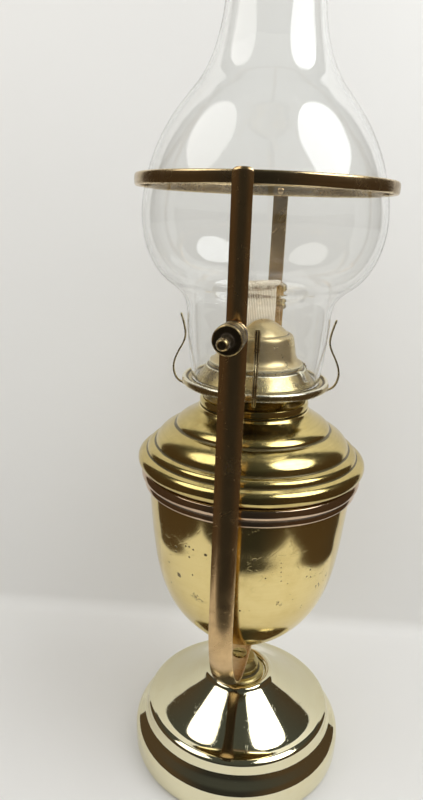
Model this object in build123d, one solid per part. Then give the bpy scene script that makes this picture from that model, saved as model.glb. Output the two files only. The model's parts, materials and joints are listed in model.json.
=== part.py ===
from build123d import *
from math import atan2, cos, degrees, hypot, pi, radians, sin
import os

# Gimballed brass oil lamp. Millimetres, +Z up, origin on the floor under the
# middle of the foot. The pivot axis of the gimbal runs along Y.

# ---------------------------------------------------------------- driving dimensions
PIVOT_Z = 285.0            # height of the gimbal axis
SLIDE_GAP = 0.3            # space between bodies that only pass each other
RUN_FIT = 0.05             # radial clearance of a shaft in its hole
SHEET = 0.9                # spun brass sheet

# stand
FOOT_SHEET = 1.2
FOOT_TOP_Z = 50.4          # seat of the yoke hub
BOLT_R = 3.0
BOLT_HEAD_R = 4.6
BALLAST_POCKET_R = 12.0
BALLAST_POCKET_Z = 14.0
FELT_R = 62.0
FELT_HOLE_R = 15.0

# yoke
YOKE_WIDTH = 12.7
YOKE_THICK = 3.0
YOKE_IN = 71.9             # flat inner face to the axis
YOKE_OUT = YOKE_IN + YOKE_THICK
YOKE_BOTTOM_Z = 59.5
HOOP_Z = YOKE_BOTTOM_Z + YOKE_OUT
HUB_R = 12.5

# swinging frame
STRAP_WIDTH = 9.5
STRAP_THICK = 2.3
STRAP_TOP = (68.75, 356.3)      # inner face: radius, height
STRAP_BOTTOM = (66.3, 183.2)
TOP_RING_OUT = 68.6
TOP_RING_THICK = 2.7
TOP_RING_Z = (349.1, 355.3)
FONT_RING_IN = 60.0
FONT_RING_OUT = 63.5
FONT_RING_Z = (184.8, 195.2)
LUG_Z = (186.4, 193.0)
RIVET_R = 1.3
STUD_R = 2.5
STUD_HEAD_R = 4.0
STUD_END = 92.0
WASHER_THICK = 0.7
WASHER_R = 5.6

# thumb nuts
KNOB_INNER = YOKE_OUT + SLIDE_GAP
KNOB_LENGTH = 24.5

# font
COLLAR_R = 19.5
THREAD_R = 16.0
DECK_Z = 236.0
COLLAR_TOP_Z = 238.3

# burner
VIEW_TURN = 8.3            # the burner's own front, turned from the yoke plane
WICK_TURN = 53.3           # direction of the flat of the wick and of its spindle
WICK_WIDTH = 25.4
WICK_THICK = 3.2
WICK_TOP_Z = 302.0
WICK_BOTTOM_Z = 128.0
TUBE_WALL = 0.5
TUBE_IN = (26.0, 4.0)
TUBE_Z = (229.0, 276.6)
SPINDLE_Z = 242.3
SPINDLE_R = 1.25
WHEEL_R = 5.0
WHEEL_OFFSET = 6.9
WHEEL_AT = (-7.0, 7.0)
WHEEL_WIDTH = 2.4
THUMB_R = 7.5
THUMB_AT = (47.6, 50.4)
RIM_OUT = 41.6
RIM_Z = (244.5, 248.9)
LEDGE_Z = 247.9
PRONG_WIDTH = 3.0
PRONG_THICK = 1.1
PRONG_TURNS = [VIEW_TURN - 90 + 90 * i for i in range(4)]

# chimney
GLASS = 2.0
GLASS_FOOT_Z = LEDGE_Z + SLIDE_GAP
GLASS_TOP_Z = 500.0


# ---------------------------------------------------------------- helpers
def at(r, z):
    """A point of a lathe profile: radius r, height z."""
    return (r, 0, z)


def offset_points(points, distance):
    """Move a profile sideways, to the right of its direction of travel for distance > 0."""
    moved = []
    last = len(points) - 1
    for i, (r, z) in enumerate(points):
        r0, z0 = points[max(i - 1, 0)]
        r1, z1 = points[min(i + 1, last)]
        length = hypot(r1 - r0, z1 - z0)
        moved.append((r + distance * (z1 - z0) / length, z - distance * (r1 - r0) / length))
    return moved


def lathe(points):
    """Solid of revolution about Z from straight lines."""
    outline = Polyline(*[at(r, z) for r, z in points], close=True)
    return revolve(make_face(outline), Axis.Z, 360)


def spun(points, wall):
    """Spun sheet or blown wall: a smooth outer profile with its inside wall mm further in."""
    outer = Spline(*[at(r, z) for r, z in points])
    inside = offset_points(points, -wall)
    inner = Spline(*[at(r, z) for r, z in inside])
    ends = [Line(outer @ 0, inner @ 0), Line(outer @ 1, inner @ 1)]
    return revolve(make_face(outer + inner + ends), Axis.Z, 360)


def turned(shape, angle):
    """Turn a shape about the lamp's axis."""
    return Rot(0, 0, angle) * shape


def along_y(radius, y0, y1, z):
    """Round bar along Y from y0 to y1 at height z."""
    low, high = min(y0, y1), max(y0, y1)
    return Pos(0, (low + high) / 2, z) * Rot(90, 0, 0) * Cylinder(radius, high - low)


def along_x(radius, x0, x1, y, z):
    """Round bar along X from x0 to x1."""
    return Pos((x0 + x1) / 2, y, z) * Rot(0, 90, 0) * Cylinder(radius, x1 - x0)


def block(x, y, z):
    """Box from its three (low, high) ranges."""
    size = [b - a for a, b in (x, y, z)]
    middle = [(a + b) / 2 for a, b in (x, y, z)]
    return Pos(*middle) * Box(*size)


def half_round(width, thick):
    """Half-round section in the XY plane: flat along X at Y = 0, crown towards -Y."""
    crown = ThreePointArc((-width / 2, -thick * 0.35), (0, -thick), (width / 2, -thick * 0.35))
    base = Polyline((width / 2, -thick * 0.35), (width / 2, 0), (-width / 2, 0),
                    (-width / 2, -thick * 0.35))
    return make_face(crown + base)


def band(points, thick):
    """Thin strip in the XZ plane that follows points, thick mm wide."""
    half = thick / 2
    left = Spline(*[at(r, z) for r, z in offset_points(points, half)])
    right = Spline(*[at(r, z) for r, z in offset_points(points, -half)])
    return make_face(left + right + [Line(left @ 0, right @ 0), Line(left @ 1, right @ 1)])


def pair(shape):
    """The shape and its copy on the other arm."""
    return Compound(children=[shape, turned(shape, 180)])


os.makedirs("parts", exist_ok=True)
nodes = {}

# ---------------------------------------------------------------- stand
foot_outer = [
    (64.6, 0.4), (65.9, 1.8), (66.5, 4.5), (66.6, 9.0), (66.6, 13.0), (66.0, 16.0),
    (64.6, 18.3), (62.5, 20.3), (60.4, 22.4), (59.1, 25.0), (58.6, 28.2), (58.3, 30.2),
    (57.3, 31.1), (55.5, 32.0),
]
foot_cone = [(38.0, 40.1), (24.6, 46.4), (23.2, 47.2), (22.4, 48.2), (21.9, 49.6), (21.2, 50.9),
             (20.0, 51.7), (18.6, 51.8), (17.5, 51.2), (17.0, FOOT_TOP_Z)]
foot_inner = [
    (BOLT_R + RUN_FIT, FOOT_TOP_Z), (BOLT_R + RUN_FIT, FOOT_TOP_Z - 2), (19.0, FOOT_TOP_Z - 2),
    (21.6, 46.2), (54.6, 31.0), (56.8, 29.6), (57.2, 26.0), (58.0, 23.0), (60.2, 20.2),
    (63.0, 17.6), (64.8, 15.0), (65.4, 12.0), (65.4, 4.6), (64.6, 2.6), (63.4, 1.4), (63.4, 0.4),
]
nodes["foot_shell"] = lathe(foot_outer + foot_cone + foot_inner)

hole = BOLT_R + RUN_FIT
nodes["foot_ballast"] = lathe([
    (hole, FOOT_TOP_Z - 2), (hole, BALLAST_POCKET_Z), (BALLAST_POCKET_R, BALLAST_POCKET_Z),
    (BALLAST_POCKET_R, 2.6), (62.0, 2.6), (62.6, 4.6), (62.6, 13.5), (60.8, 16.4), (57.6, 19.4),
    (55.4, 22.4), (54.2, 28.4), (21.0, 44.4), (18.0, FOOT_TOP_Z - 2)])
nodes["foot_plate"] = lathe([(BALLAST_POCKET_R + 2, 1.3), (63.2, 1.3), (63.9, 2.6),
                             (BALLAST_POCKET_R + 2, 2.6)])
nodes["foot_felt"] = lathe([(FELT_HOLE_R, 0), (FELT_R, 0), (FELT_R, 1.3), (FELT_HOLE_R, 1.3)])

# ---------------------------------------------------------------- yoke
hub_low = FOOT_TOP_Z + 0.2
hub = lathe([(0, hub_low), (15.6, hub_low), (16.2, hub_low + 0.8), (15.0, 52.6), (12.9, 53.4),
             (HUB_R, 54.4), (HUB_R, 56.6), (11.6, 58.4), (9.8, YOKE_BOTTOM_Z + 1.2),
             (0, YOKE_BOTTOM_Z + 1.2)])

section = half_round(YOKE_WIDTH, YOKE_THICK)
arm_length = PIVOT_Z + YOKE_WIDTH / 2 - HOOP_Z
near_arm = Pos(0, -YOKE_IN, HOOP_Z) * extrude(section, arm_length)
round_end = block((-8, 8), (-80, -60), (HOOP_Z - 1, PIVOT_Z)) + along_y(
    YOKE_WIDTH / 2, -80, -60, PIVOT_Z)
near_arm = near_arm & round_end
near_arm -= along_y(STUD_R + RUN_FIT, -80, -60, PIVOT_Z)
hoop_axis = Axis((0, 0, HOOP_Z), (1, 0, 0))
bottom = revolve(Pos(0, -YOKE_IN, HOOP_Z) * section, hoop_axis, 180)
hoop = bottom + near_arm + turned(near_arm, 180)
bolt_hole = Pos(0, 0, 50) * Cylinder(BOLT_R + RUN_FIT, 40)
nodes["yoke_hoop"] = hoop - bolt_hole
nodes["yoke_hub"] = hub - nodes["yoke_hoop"] - bolt_hole

hoop_floor = HOOP_Z - YOKE_IN
head = lathe([(0, hoop_floor - 0.6), (BOLT_R, hoop_floor - 0.6), (BOLT_R, hoop_floor + 0.2),
              (BOLT_HEAD_R, hoop_floor + 0.2), (BOLT_HEAD_R, hoop_floor + 0.7),
              (4.2, hoop_floor + 1.0), (0, hoop_floor + 1.1)])
shank = Pos(0, 0, (hoop_floor + 3.2) / 2) * Cylinder(BOLT_R, hoop_floor - 3.2)
slot = block((-BOLT_HEAD_R, BOLT_HEAD_R), (-0.6, 0.6), (hoop_floor + 0.6, hoop_floor + 4))
nodes["yoke_bolt"] = head + shank - slot
washer_z = BALLAST_POCKET_Z - 0.2
nodes["swivel_washer"] = lathe([(hole, washer_z - 1.4), (8.5, washer_z - 1.4),
                                (8.5, washer_z), (hole, washer_z)])
nut = extrude(Pos(0, 0, washer_z - 6.6) * RegularPolygon(5.6, 6, major_radius=False), 5.2)
nodes["swivel_nut"] = nut - Pos(0, 0, 10) * Cylinder(BOLT_R + RUN_FIT, 20)

# ---------------------------------------------------------------- swinging frame
run = STRAP_TOP[0] - STRAP_BOTTOM[0]
rise = STRAP_TOP[1] - STRAP_BOTTOM[1]
strap_tilt = degrees(atan2(run, rise))
strap = Pos(0, -STRAP_BOTTOM[0], STRAP_BOTTOM[1]) * Rot(strap_tilt, 0, 0) * extrude(
    half_round(STRAP_WIDTH, STRAP_THICK), hypot(run, rise))
strap_round = 2.6
keep = block((-8, 8), (-80, -60), (STRAP_BOTTOM[1] - 1, STRAP_TOP[1] - strap_round))
keep += block((strap_round - STRAP_WIDTH / 2, STRAP_WIDTH / 2 - strap_round), (-80, -60),
              (STRAP_BOTTOM[1], STRAP_TOP[1]))
for side in (-1, 1):
    keep += Pos(side * (STRAP_WIDTH / 2 - strap_round), 0, 0) * along_y(
        strap_round, -80, -60, STRAP_TOP[1] - strap_round)
top_rivet_z = sum(TOP_RING_Z) / 2
font_rivet_z = sum(LUG_Z) / 2
rivet_holes = along_y(RIVET_R, -80, -55, top_rivet_z) + along_y(RIVET_R, -80, -55, font_rivet_z)
rivet_holes += turned(rivet_holes, 180)
strap = (strap & keep) - along_y(STUD_R, -80, -60, PIVOT_Z) - rivet_holes
nodes["gimbal_strap_near"] = strap
nodes["gimbal_strap_far"] = turned(strap, 180)

ring_in = TOP_RING_OUT - TOP_RING_THICK
z0, z1 = TOP_RING_Z
nodes["top_ring"] = lathe([
    (ring_in, z0 + 0.5), (ring_in + 0.5, z0), (TOP_RING_OUT - 0.9, z0), (TOP_RING_OUT - 0.2, z0 + 0.9),
    (TOP_RING_OUT, (z0 + z1) / 2), (TOP_RING_OUT - 0.2, z1 - 0.9), (TOP_RING_OUT - 0.9, z1),
    (ring_in + 0.5, z1), (ring_in, z1 - 0.5)]) - rivet_holes

z0, z1 = FONT_RING_Z
bead = [(61.7, z0), (61.9, 188.6), (62.3, 189.3), (63.0, 190.0), (63.4, 191.0), (FONT_RING_OUT, 192.1),
        (63.3, 193.3), (62.7, 194.4), (61.8, z1)]
nodes["font_ring"] = lathe([(FONT_RING_IN, z1), (FONT_RING_IN, z0)] + bead) - rivet_holes
lug = block((-4.4, 4.4), (-STRAP_BOTTOM[0], -62.4), LUG_Z)
nodes["ring_lugs"] = pair(lug - Pos(0, 0, 190) * Cylinder(FONT_RING_OUT, 20) - rivet_holes)


def rivet(z, inner, outer):
    """Pin through the near arm from radius inner to radius outer."""
    return along_y(RIVET_R, -inner, -outer, z)


def rivet_head(radius, z, way, crown):
    """Low round head at that radius on the near arm: way is 1 outwards, -1 inwards."""
    return Pos(0, -radius, z) * Rot(90 * way, 0, 0) * Cone(2.1, 1.2, crown, align=(
        Align.CENTER, Align.CENTER, Align.MIN))


strap_top_face = STRAP_TOP[0] + STRAP_THICK
strap_low_face = STRAP_BOTTOM[0] + STRAP_THICK + 0.1
top_rivet = rivet(top_rivet_z, ring_in - 0.2, strap_top_face - 0.1) + rivet_head(
    ring_in - 0.05, top_rivet_z, -1, 0.7)
low_rivet = rivet(font_rivet_z, 62.6, strap_low_face) + rivet_head(
    strap_low_face, font_rivet_z, 1, 0.8)
nodes["strap_rivets"] = Compound(children=[
    top_rivet, turned(top_rivet, 180), low_rivet, turned(low_rivet, 180)])

strap_at_pivot = STRAP_BOTTOM[0] + run * (PIVOT_Z - STRAP_BOTTOM[1]) / rise
stud_head = along_y(STUD_HEAD_R, -strap_at_pivot + 1.1, -strap_at_pivot + 0.05, PIVOT_Z)
stud = along_y(STUD_R, -strap_at_pivot + 1.0, -STUD_END, PIVOT_Z) + stud_head
nodes["pivot_studs"] = pair(stud)
washer_face = YOKE_IN - SLIDE_GAP
spacer = along_y(WASHER_R, -washer_face, -(washer_face - WASHER_THICK), PIVOT_Z)
nodes["pivot_washers"] = pair(spacer - along_y(STUD_R, -80, -60, PIVOT_Z))

# ---------------------------------------------------------------- thumb nuts
knob_profile = [
    (0, 0), (6.3, 0), (6.7, 0.4), (6.7, 3.0), (6.3, 3.6), (5.5, 4.0), (5.5, 4.8), (6.4, 5.3),
    (6.9, 6.0), (6.9, 12.7), (6.5, 13.6), (2.9, 13.9), (2.9, 22.0), (2.5, 23.4), (1.4, 24.2),
    (0, KNOB_LENGTH)]
knob = lathe(knob_profile) - Pos(0, 0, 8) * Cylinder(STUD_R + RUN_FIT, 18)
near_knob = Pos(0, -KNOB_INNER, PIVOT_Z) * Rot(90, 0, 0) * knob
nodes["knob_near"] = near_knob
nodes["knob_far"] = turned(near_knob, 180)

# ---------------------------------------------------------------- font
bowl_outer = [
    (0.0, 79.4), (7.5, 80.0), (15.0, 82.0), (22.0, 85.4), (28.7, 90.2), (34.7, 96.0), (40.0, 102.0),
    (44.1, 108.0), (47.4, 114.0), (49.9, 120.0), (51.9, 126.0), (53.4, 132.0), (54.6, 138.0),
    (55.5, 144.0), (56.3, 150.0), (57.0, 156.0), (57.6, 163.0), (58.4, 171.6), (58.9, 180.0),
    (59.2, 188.0), (59.3, 195.7)]
outer = Spline(*[at(r, z) for r, z in bowl_outer], tangents=[(1, 0, 0), (0, 0, 1)])
inner_points = [(0.0, bowl_outer[0][1] + SHEET)] + offset_points(bowl_outer, -SHEET)[1:]
inner = Spline(*[at(r, z) for r, z in inner_points], tangents=[(1, 0, 0), (0, 0, 1)])
bowl_face = make_face(outer + inner + [Line(outer @ 0, inner @ 0), Line(outer @ 1, inner @ 1)])
nodes["font_bowl"] = revolve(bowl_face, Axis.Z, 360)

shoulder_outer = [
    (58.0, 196.2), (61.5, 195.6), (64.4, 197.0), (65.7, 199.0), (65.9, 200.9), (65.3, 202.8),
    (63.7, 204.3), (61.6, 205.2), (60.9, 205.5), (60.7, 206.6), (60.0, 207.9), (58.5, 209.0),
    (56.9, 209.5), (56.1, 209.9), (55.7, 211.2), (54.9, 213.0), (52.8, 215.5), (49.8, 217.8),
    (46.6, 219.6), (45.4, 220.0), (44.5, 220.6), (44.0, 221.9), (42.2, 223.7), (39.0, 225.8),
    (35.6, 227.9), (32.8, 230.2), (31.4, 231.9), (30.2, 232.1), (30.9, 232.9), (31.2, 234.2),
    (31.0, 235.9), (30.2, 237.0), (29.2, 237.3), (28.4, 236.7), (27.9, DECK_Z)]
shoulder_inner = [
    (THREAD_R + 1.8, DECK_Z), (THREAD_R + 1.8, DECK_Z - 1.2), (28.6, DECK_Z - 1.2),
    (29.4, 232.0), (30.4, 230.4), (34.6, 226.9), (41.2, 222.7), (43.2, 219.9), (49.0, 216.9),
    (53.6, 212.6), (54.9, 208.9), (58.9, 206.6), (59.8, 204.3), (63.2, 203.0), (64.6, 200.9),
    (64.2, 199.2), (61.2, 197.5), (58.0, 197.6)]
nodes["font_shoulder"] = lathe(shoulder_outer + shoulder_inner)

collar = lathe([(THREAD_R, 231.0), (THREAD_R + 1.7, 231.0), (THREAD_R + 1.7, DECK_Z),
                (COLLAR_R, DECK_Z), (COLLAR_R, COLLAR_TOP_Z - 0.4), (COLLAR_R - 0.4, COLLAR_TOP_Z),
                (THREAD_R, COLLAR_TOP_Z)])
nodes["font_collar"] = collar

# ---------------------------------------------------------------- burner
tube_outer = [side + 2 * TUBE_WALL for side in TUBE_IN]
tube_height = TUBE_Z[1] - TUBE_Z[0]
tube_mid = sum(TUBE_Z) / 2
tube_space = Pos(0, 0, tube_mid) * Box(*tube_outer, tube_height + 10)
tube = Pos(0, 0, tube_mid) * (Box(*tube_outer, tube_height) - Box(*TUBE_IN, tube_height + 2))
window = [block((x - WHEEL_WIDTH / 2 - 0.6, x + WHEEL_WIDTH / 2 + 0.6), (1.0, 6.0),
                (SPINDLE_Z - 5.6, SPINDLE_Z + 5.6)) for x in WHEEL_AT]
for opening in window:
    tube -= opening
nodes["wick_tube"] = turned(tube, WICK_TURN)

spindle_hole = along_x(SPINDLE_R + RUN_FIT, 0, 60, WHEEL_OFFSET, SPINDLE_Z)
wheel_room = block((-11, 11), (1, WHEEL_OFFSET + WHEEL_R + 1), (SPINDLE_Z - 6, SPINDLE_Z + 6))
plug_top = COLLAR_TOP_Z + SLIDE_GAP
plug = lathe([(0, 229.5), (THREAD_R - RUN_FIT, 229.5), (THREAD_R - RUN_FIT, plug_top),
              (19.6, plug_top), (20.2, plug_top + 0.8), (20.2, plug_top + 1.4), (0, plug_top + 1.4)])
plug -= tube_space
plug -= wheel_room
nodes["burner_base"] = turned(plug, WICK_TURN)

basket_low = plug_top + 1.4
basket = lathe([(19.4, basket_low), (20.2, basket_low), (22.6, 243.0), (25.4, 249.6),
                (28.2, 253.2), (27.3, 253.6), (24.6, 250.2), (21.8, 243.3), (19.4, basket_low + 0.6)])
air_hole = Rot(0, 90, 0) * Cylinder(1.1, 20)
for row, (height, radius) in enumerate([(244.6, 23.2), (249.4, 25.4)]):
    for i in range(18):
        turn = (i + row / 2) * 360 / 18
        if min(turn, 360 - turn) > 24:
            basket -= turned(Pos(radius, 0, height) * air_hole, turn)
nodes["burner_basket"] = turned(basket - spindle_hole, WICK_TURN)

rim_low, rim_top = RIM_Z
gallery = lathe([
    (39.4, rim_low + 0.2), (40.4, rim_low), (41.2, rim_low + 0.5), (RIM_OUT, rim_low + 1.6),
    (RIM_OUT, rim_low + 2.8), (41.1, rim_top - 0.4), (40.3, rim_top), (39.5, rim_top - 0.4),
    (38.9, LEDGE_Z), (34.0, LEDGE_Z), (33.0, 248.7), (29.4, 253.6), (28.6, 254.7),
    (28.0, 255.5), (27.2, 255.6), (26.9, 256.1), (26.5, 257.2), (24.0, 257.4), (24.0, 256.6),
    (25.8, 256.4), (26.2, 255.0), (27.4, 254.6), (28.2, 253.6), (31.8, 248.5), (33.6, 247.1),
    (39.0, 247.1), (39.8, 246.4), (39.4, rim_low + 1.2)])
for turn in PRONG_TURNS:
    gallery -= turned(block((39.0, 43.5), (-PRONG_WIDTH / 2 - 0.4, PRONG_WIDTH / 2 + 0.4),
                            (rim_low - 0.5, rim_low + 2.0)), turn)
catch = Pos(30.2, 0, 253.6) * Rot(0, 50, 0) * Box(4.4, 3.2, 1.4)
nodes["burner_gallery"] = gallery + turned(catch, VIEW_TURN - 90 + 56)

dome_outer = [
    (0.0, 282.9), (4.0, 282.6), (8.0, 281.3), (12.0, 278.9), (15.0, 276.5), (16.7, 274.9),
    (17.4, 274.2), (18.7, 274.1), (19.8, 273.4), (20.4, 272.2), (21.0, 269.6), (21.6, 266.0),
    (22.2, 262.8), (23.4, 260.3), (25.2, 258.7), (26.3, 258.2), (26.3, 257.4)]
dome_inner = [(25.0, 257.4), (24.6, 258.1), (22.8, 259.8), (21.5, 262.5), (20.9, 265.9),
              (20.3, 269.4), (19.7, 271.9), (19.2, 272.9), (17.2, 273.4), (14.4, 275.9),
              (11.5, 278.2), (7.7, 280.5), (3.9, 281.8), (0.0, 282.1)]
dome = lathe(dome_outer + dome_inner)
dome_slot = block((-14.0, 14.0), (-3.4, 3.4), (276, 290))
nodes["burner_dome"] = turned(dome - dome_slot, WICK_TURN)

wick = block((-WICK_WIDTH / 2, WICK_WIDTH / 2), (-WICK_THICK / 2, WICK_THICK / 2),
             (WICK_BOTTOM_Z, WICK_TOP_Z))
nodes["wick"] = turned(wick, WICK_TURN)


def star_wheel(x, radius, teeth, width):
    """Toothed wheel on the wick spindle, centred at x."""
    points = []
    for i in range(2 * teeth):
        reach = radius if i % 2 == 0 else radius * 0.68
        points.append((reach * cos(pi * i / teeth), reach * sin(pi * i / teeth)))
    flat = make_face(Polyline(*points, close=True))
    return Pos(x - width / 2, WHEEL_OFFSET, SPINDLE_Z) * Rot(0, 90, 0) * extrude(flat, width)


shaft = along_x(SPINDLE_R, -10.5, 52.6, WHEEL_OFFSET, SPINDLE_Z)
wheels = [star_wheel(x, WHEEL_R, 12, WHEEL_WIDTH) for x in WHEEL_AT]
spindle = shaft
for wheel in wheels:
    spindle += wheel
nodes["wick_spindle"] = turned(spindle, WICK_TURN)

thumb = along_x(THUMB_R, *THUMB_AT, WHEEL_OFFSET, SPINDLE_Z)
for i in range(20):
    turn = radians(i * 360 / 20)
    notch = Pos(sum(THUMB_AT) / 2, WHEEL_OFFSET + THUMB_R * sin(turn), SPINDLE_Z + THUMB_R * cos(turn))
    thumb -= notch * Rot(0, 90, 0) * Cylinder(0.6, 6)
thumb += along_x(3.0, 45.4, 51.8, WHEEL_OFFSET, SPINDLE_Z)
thumb -= along_x(SPINDLE_R, 40, 60, WHEEL_OFFSET, SPINDLE_Z)
nodes["wick_thumbwheel"] = turned(thumb, WICK_TURN)

prong_line = [(40.9, 243.1), (42.6, 243.5), (44.8, 245.2), (46.3, 248.2), (46.9, 251.8), (46.3, 256.0),
              (44.2, 261.2), (41.8, 265.8), (40.6, 269.4), (40.6, 273.0), (41.6, 277.8), (43.2, 283.0)]
strip = extrude(band(prong_line, PRONG_THICK), PRONG_WIDTH / 2, both=True)
channel = extrude(band(offset_points(prong_line[2:], 0.75), 0.9), 0.55, both=True)
foot_ball = Pos(40.9, 0, 243.1) * Sphere(1.25)
prong = strip - channel + foot_ball
for name, turn in zip(("front", "right", "back", "left"), PRONG_TURNS):
    nodes["prong_" + name] = turned(prong, turn)

# ---------------------------------------------------------------- chimney
glass_outer = [
    (36.4, GLASS_FOOT_Z), (36.5, 251.0), (37.2, 256.0), (38.0, 262.0), (38.7, 270.0), (39.5, 280.0),
    (40.2, 289.0), (42.4, 294.2), (46.6, 298.4), (51.6, 302.2), (56.0, 306.8), (60.4, 314.4),
    (63.2, 322.4), (64.6, 331.0), (64.7, 339.0), (63.6, 348.0), (61.4, 357.5), (58.1, 367.5),
    (53.8, 376.6), (49.0, 384.6), (42.2, 393.6), (36.0, 401.6), (31.2, 410.6), (27.6, 421.0),
    (25.3, 433.0), (24.2, 446.0), (23.8, 460.0), (24.2, 474.0), (25.4, 487.0), (27.2, GLASS_TOP_Z)]
nodes["chimney"] = spun(glass_outer, GLASS)

for name, shape in nodes.items():
    export_step(shape, f"parts/{name}.step")
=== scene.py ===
"""Gimballed brass oil lamp: its turned, drawn and knitted pieces, their finishes and a small studio.

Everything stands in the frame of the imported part, in metres. Sizes inside the
classes are in millimetres, as a maker would mark them, and MM turns them into metres.
"""

from __future__ import annotations

import json
import logging
import math
import random
from dataclasses import dataclass, field
from enum import Enum
from functools import cache
from typing import Callable, Sequence

import bmesh
import bpy
import numpy as np
from mathutils import Matrix, Vector, noise

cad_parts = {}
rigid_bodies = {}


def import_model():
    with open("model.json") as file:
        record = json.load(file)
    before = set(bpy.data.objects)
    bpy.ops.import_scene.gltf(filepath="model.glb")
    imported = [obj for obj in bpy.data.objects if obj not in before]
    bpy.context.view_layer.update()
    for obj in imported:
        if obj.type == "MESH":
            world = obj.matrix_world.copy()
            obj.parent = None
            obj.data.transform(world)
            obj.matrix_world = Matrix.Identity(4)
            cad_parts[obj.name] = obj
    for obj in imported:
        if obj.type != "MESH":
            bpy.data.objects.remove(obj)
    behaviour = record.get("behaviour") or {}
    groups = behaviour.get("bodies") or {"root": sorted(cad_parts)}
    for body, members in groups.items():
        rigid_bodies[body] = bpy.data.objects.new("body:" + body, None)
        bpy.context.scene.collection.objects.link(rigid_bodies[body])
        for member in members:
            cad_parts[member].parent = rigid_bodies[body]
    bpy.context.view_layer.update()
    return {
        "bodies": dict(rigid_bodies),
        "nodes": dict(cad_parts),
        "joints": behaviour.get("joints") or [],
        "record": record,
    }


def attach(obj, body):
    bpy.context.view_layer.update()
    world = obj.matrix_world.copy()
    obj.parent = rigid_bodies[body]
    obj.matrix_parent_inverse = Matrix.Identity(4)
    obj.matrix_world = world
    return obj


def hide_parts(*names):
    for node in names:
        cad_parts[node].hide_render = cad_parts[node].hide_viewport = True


LOG = logging.getLogger("oil_lamp")
MM = 0.001
TURN = 2.0 * math.pi

Point2 = tuple[float, float]
Point3 = tuple[float, float, float]
Colour = tuple[float, float, float]

# Driving sizes that several sub-assemblies share, in millimetres.
PIVOT_HEIGHT = 285.0
WICK_TURN = 53.3
BURNER_TURN = 8.3


class Body(str, Enum):
    """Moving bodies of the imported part."""

    STAND = "stand"
    YOKE = "yoke"
    GIMBAL = "gimbal"
    NUT_NEAR = "nut_near"
    NUT_FAR = "nut_far"
    FONT = "font"
    BURNER = "burner"
    WICK = "wick_strip"
    GLASS = "glass_chimney"


class Slot(str, Enum):
    """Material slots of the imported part."""

    POLISHED = "brass_polished"
    FONT = "brass_font"
    FRAME = "brass_frame"
    RING = "brass_ring"
    BURNER = "brass_burner"
    SPRING = "brass_spring"
    GLASS = "glass"
    COTTON = "cotton"
    FELT = "felt"


class Surface(str, Enum):
    """Names of the mesh attributes that the finishes read."""

    GRAIN = "grain"
    WEAR = "wear"
    HOLLOW = "hollow"
    # Rib height of the wick, which sets the painted shade between its ribs.
    RIB_SHADE = "yarn"


# ------------------------------------------------------------------ node wiring


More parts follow.
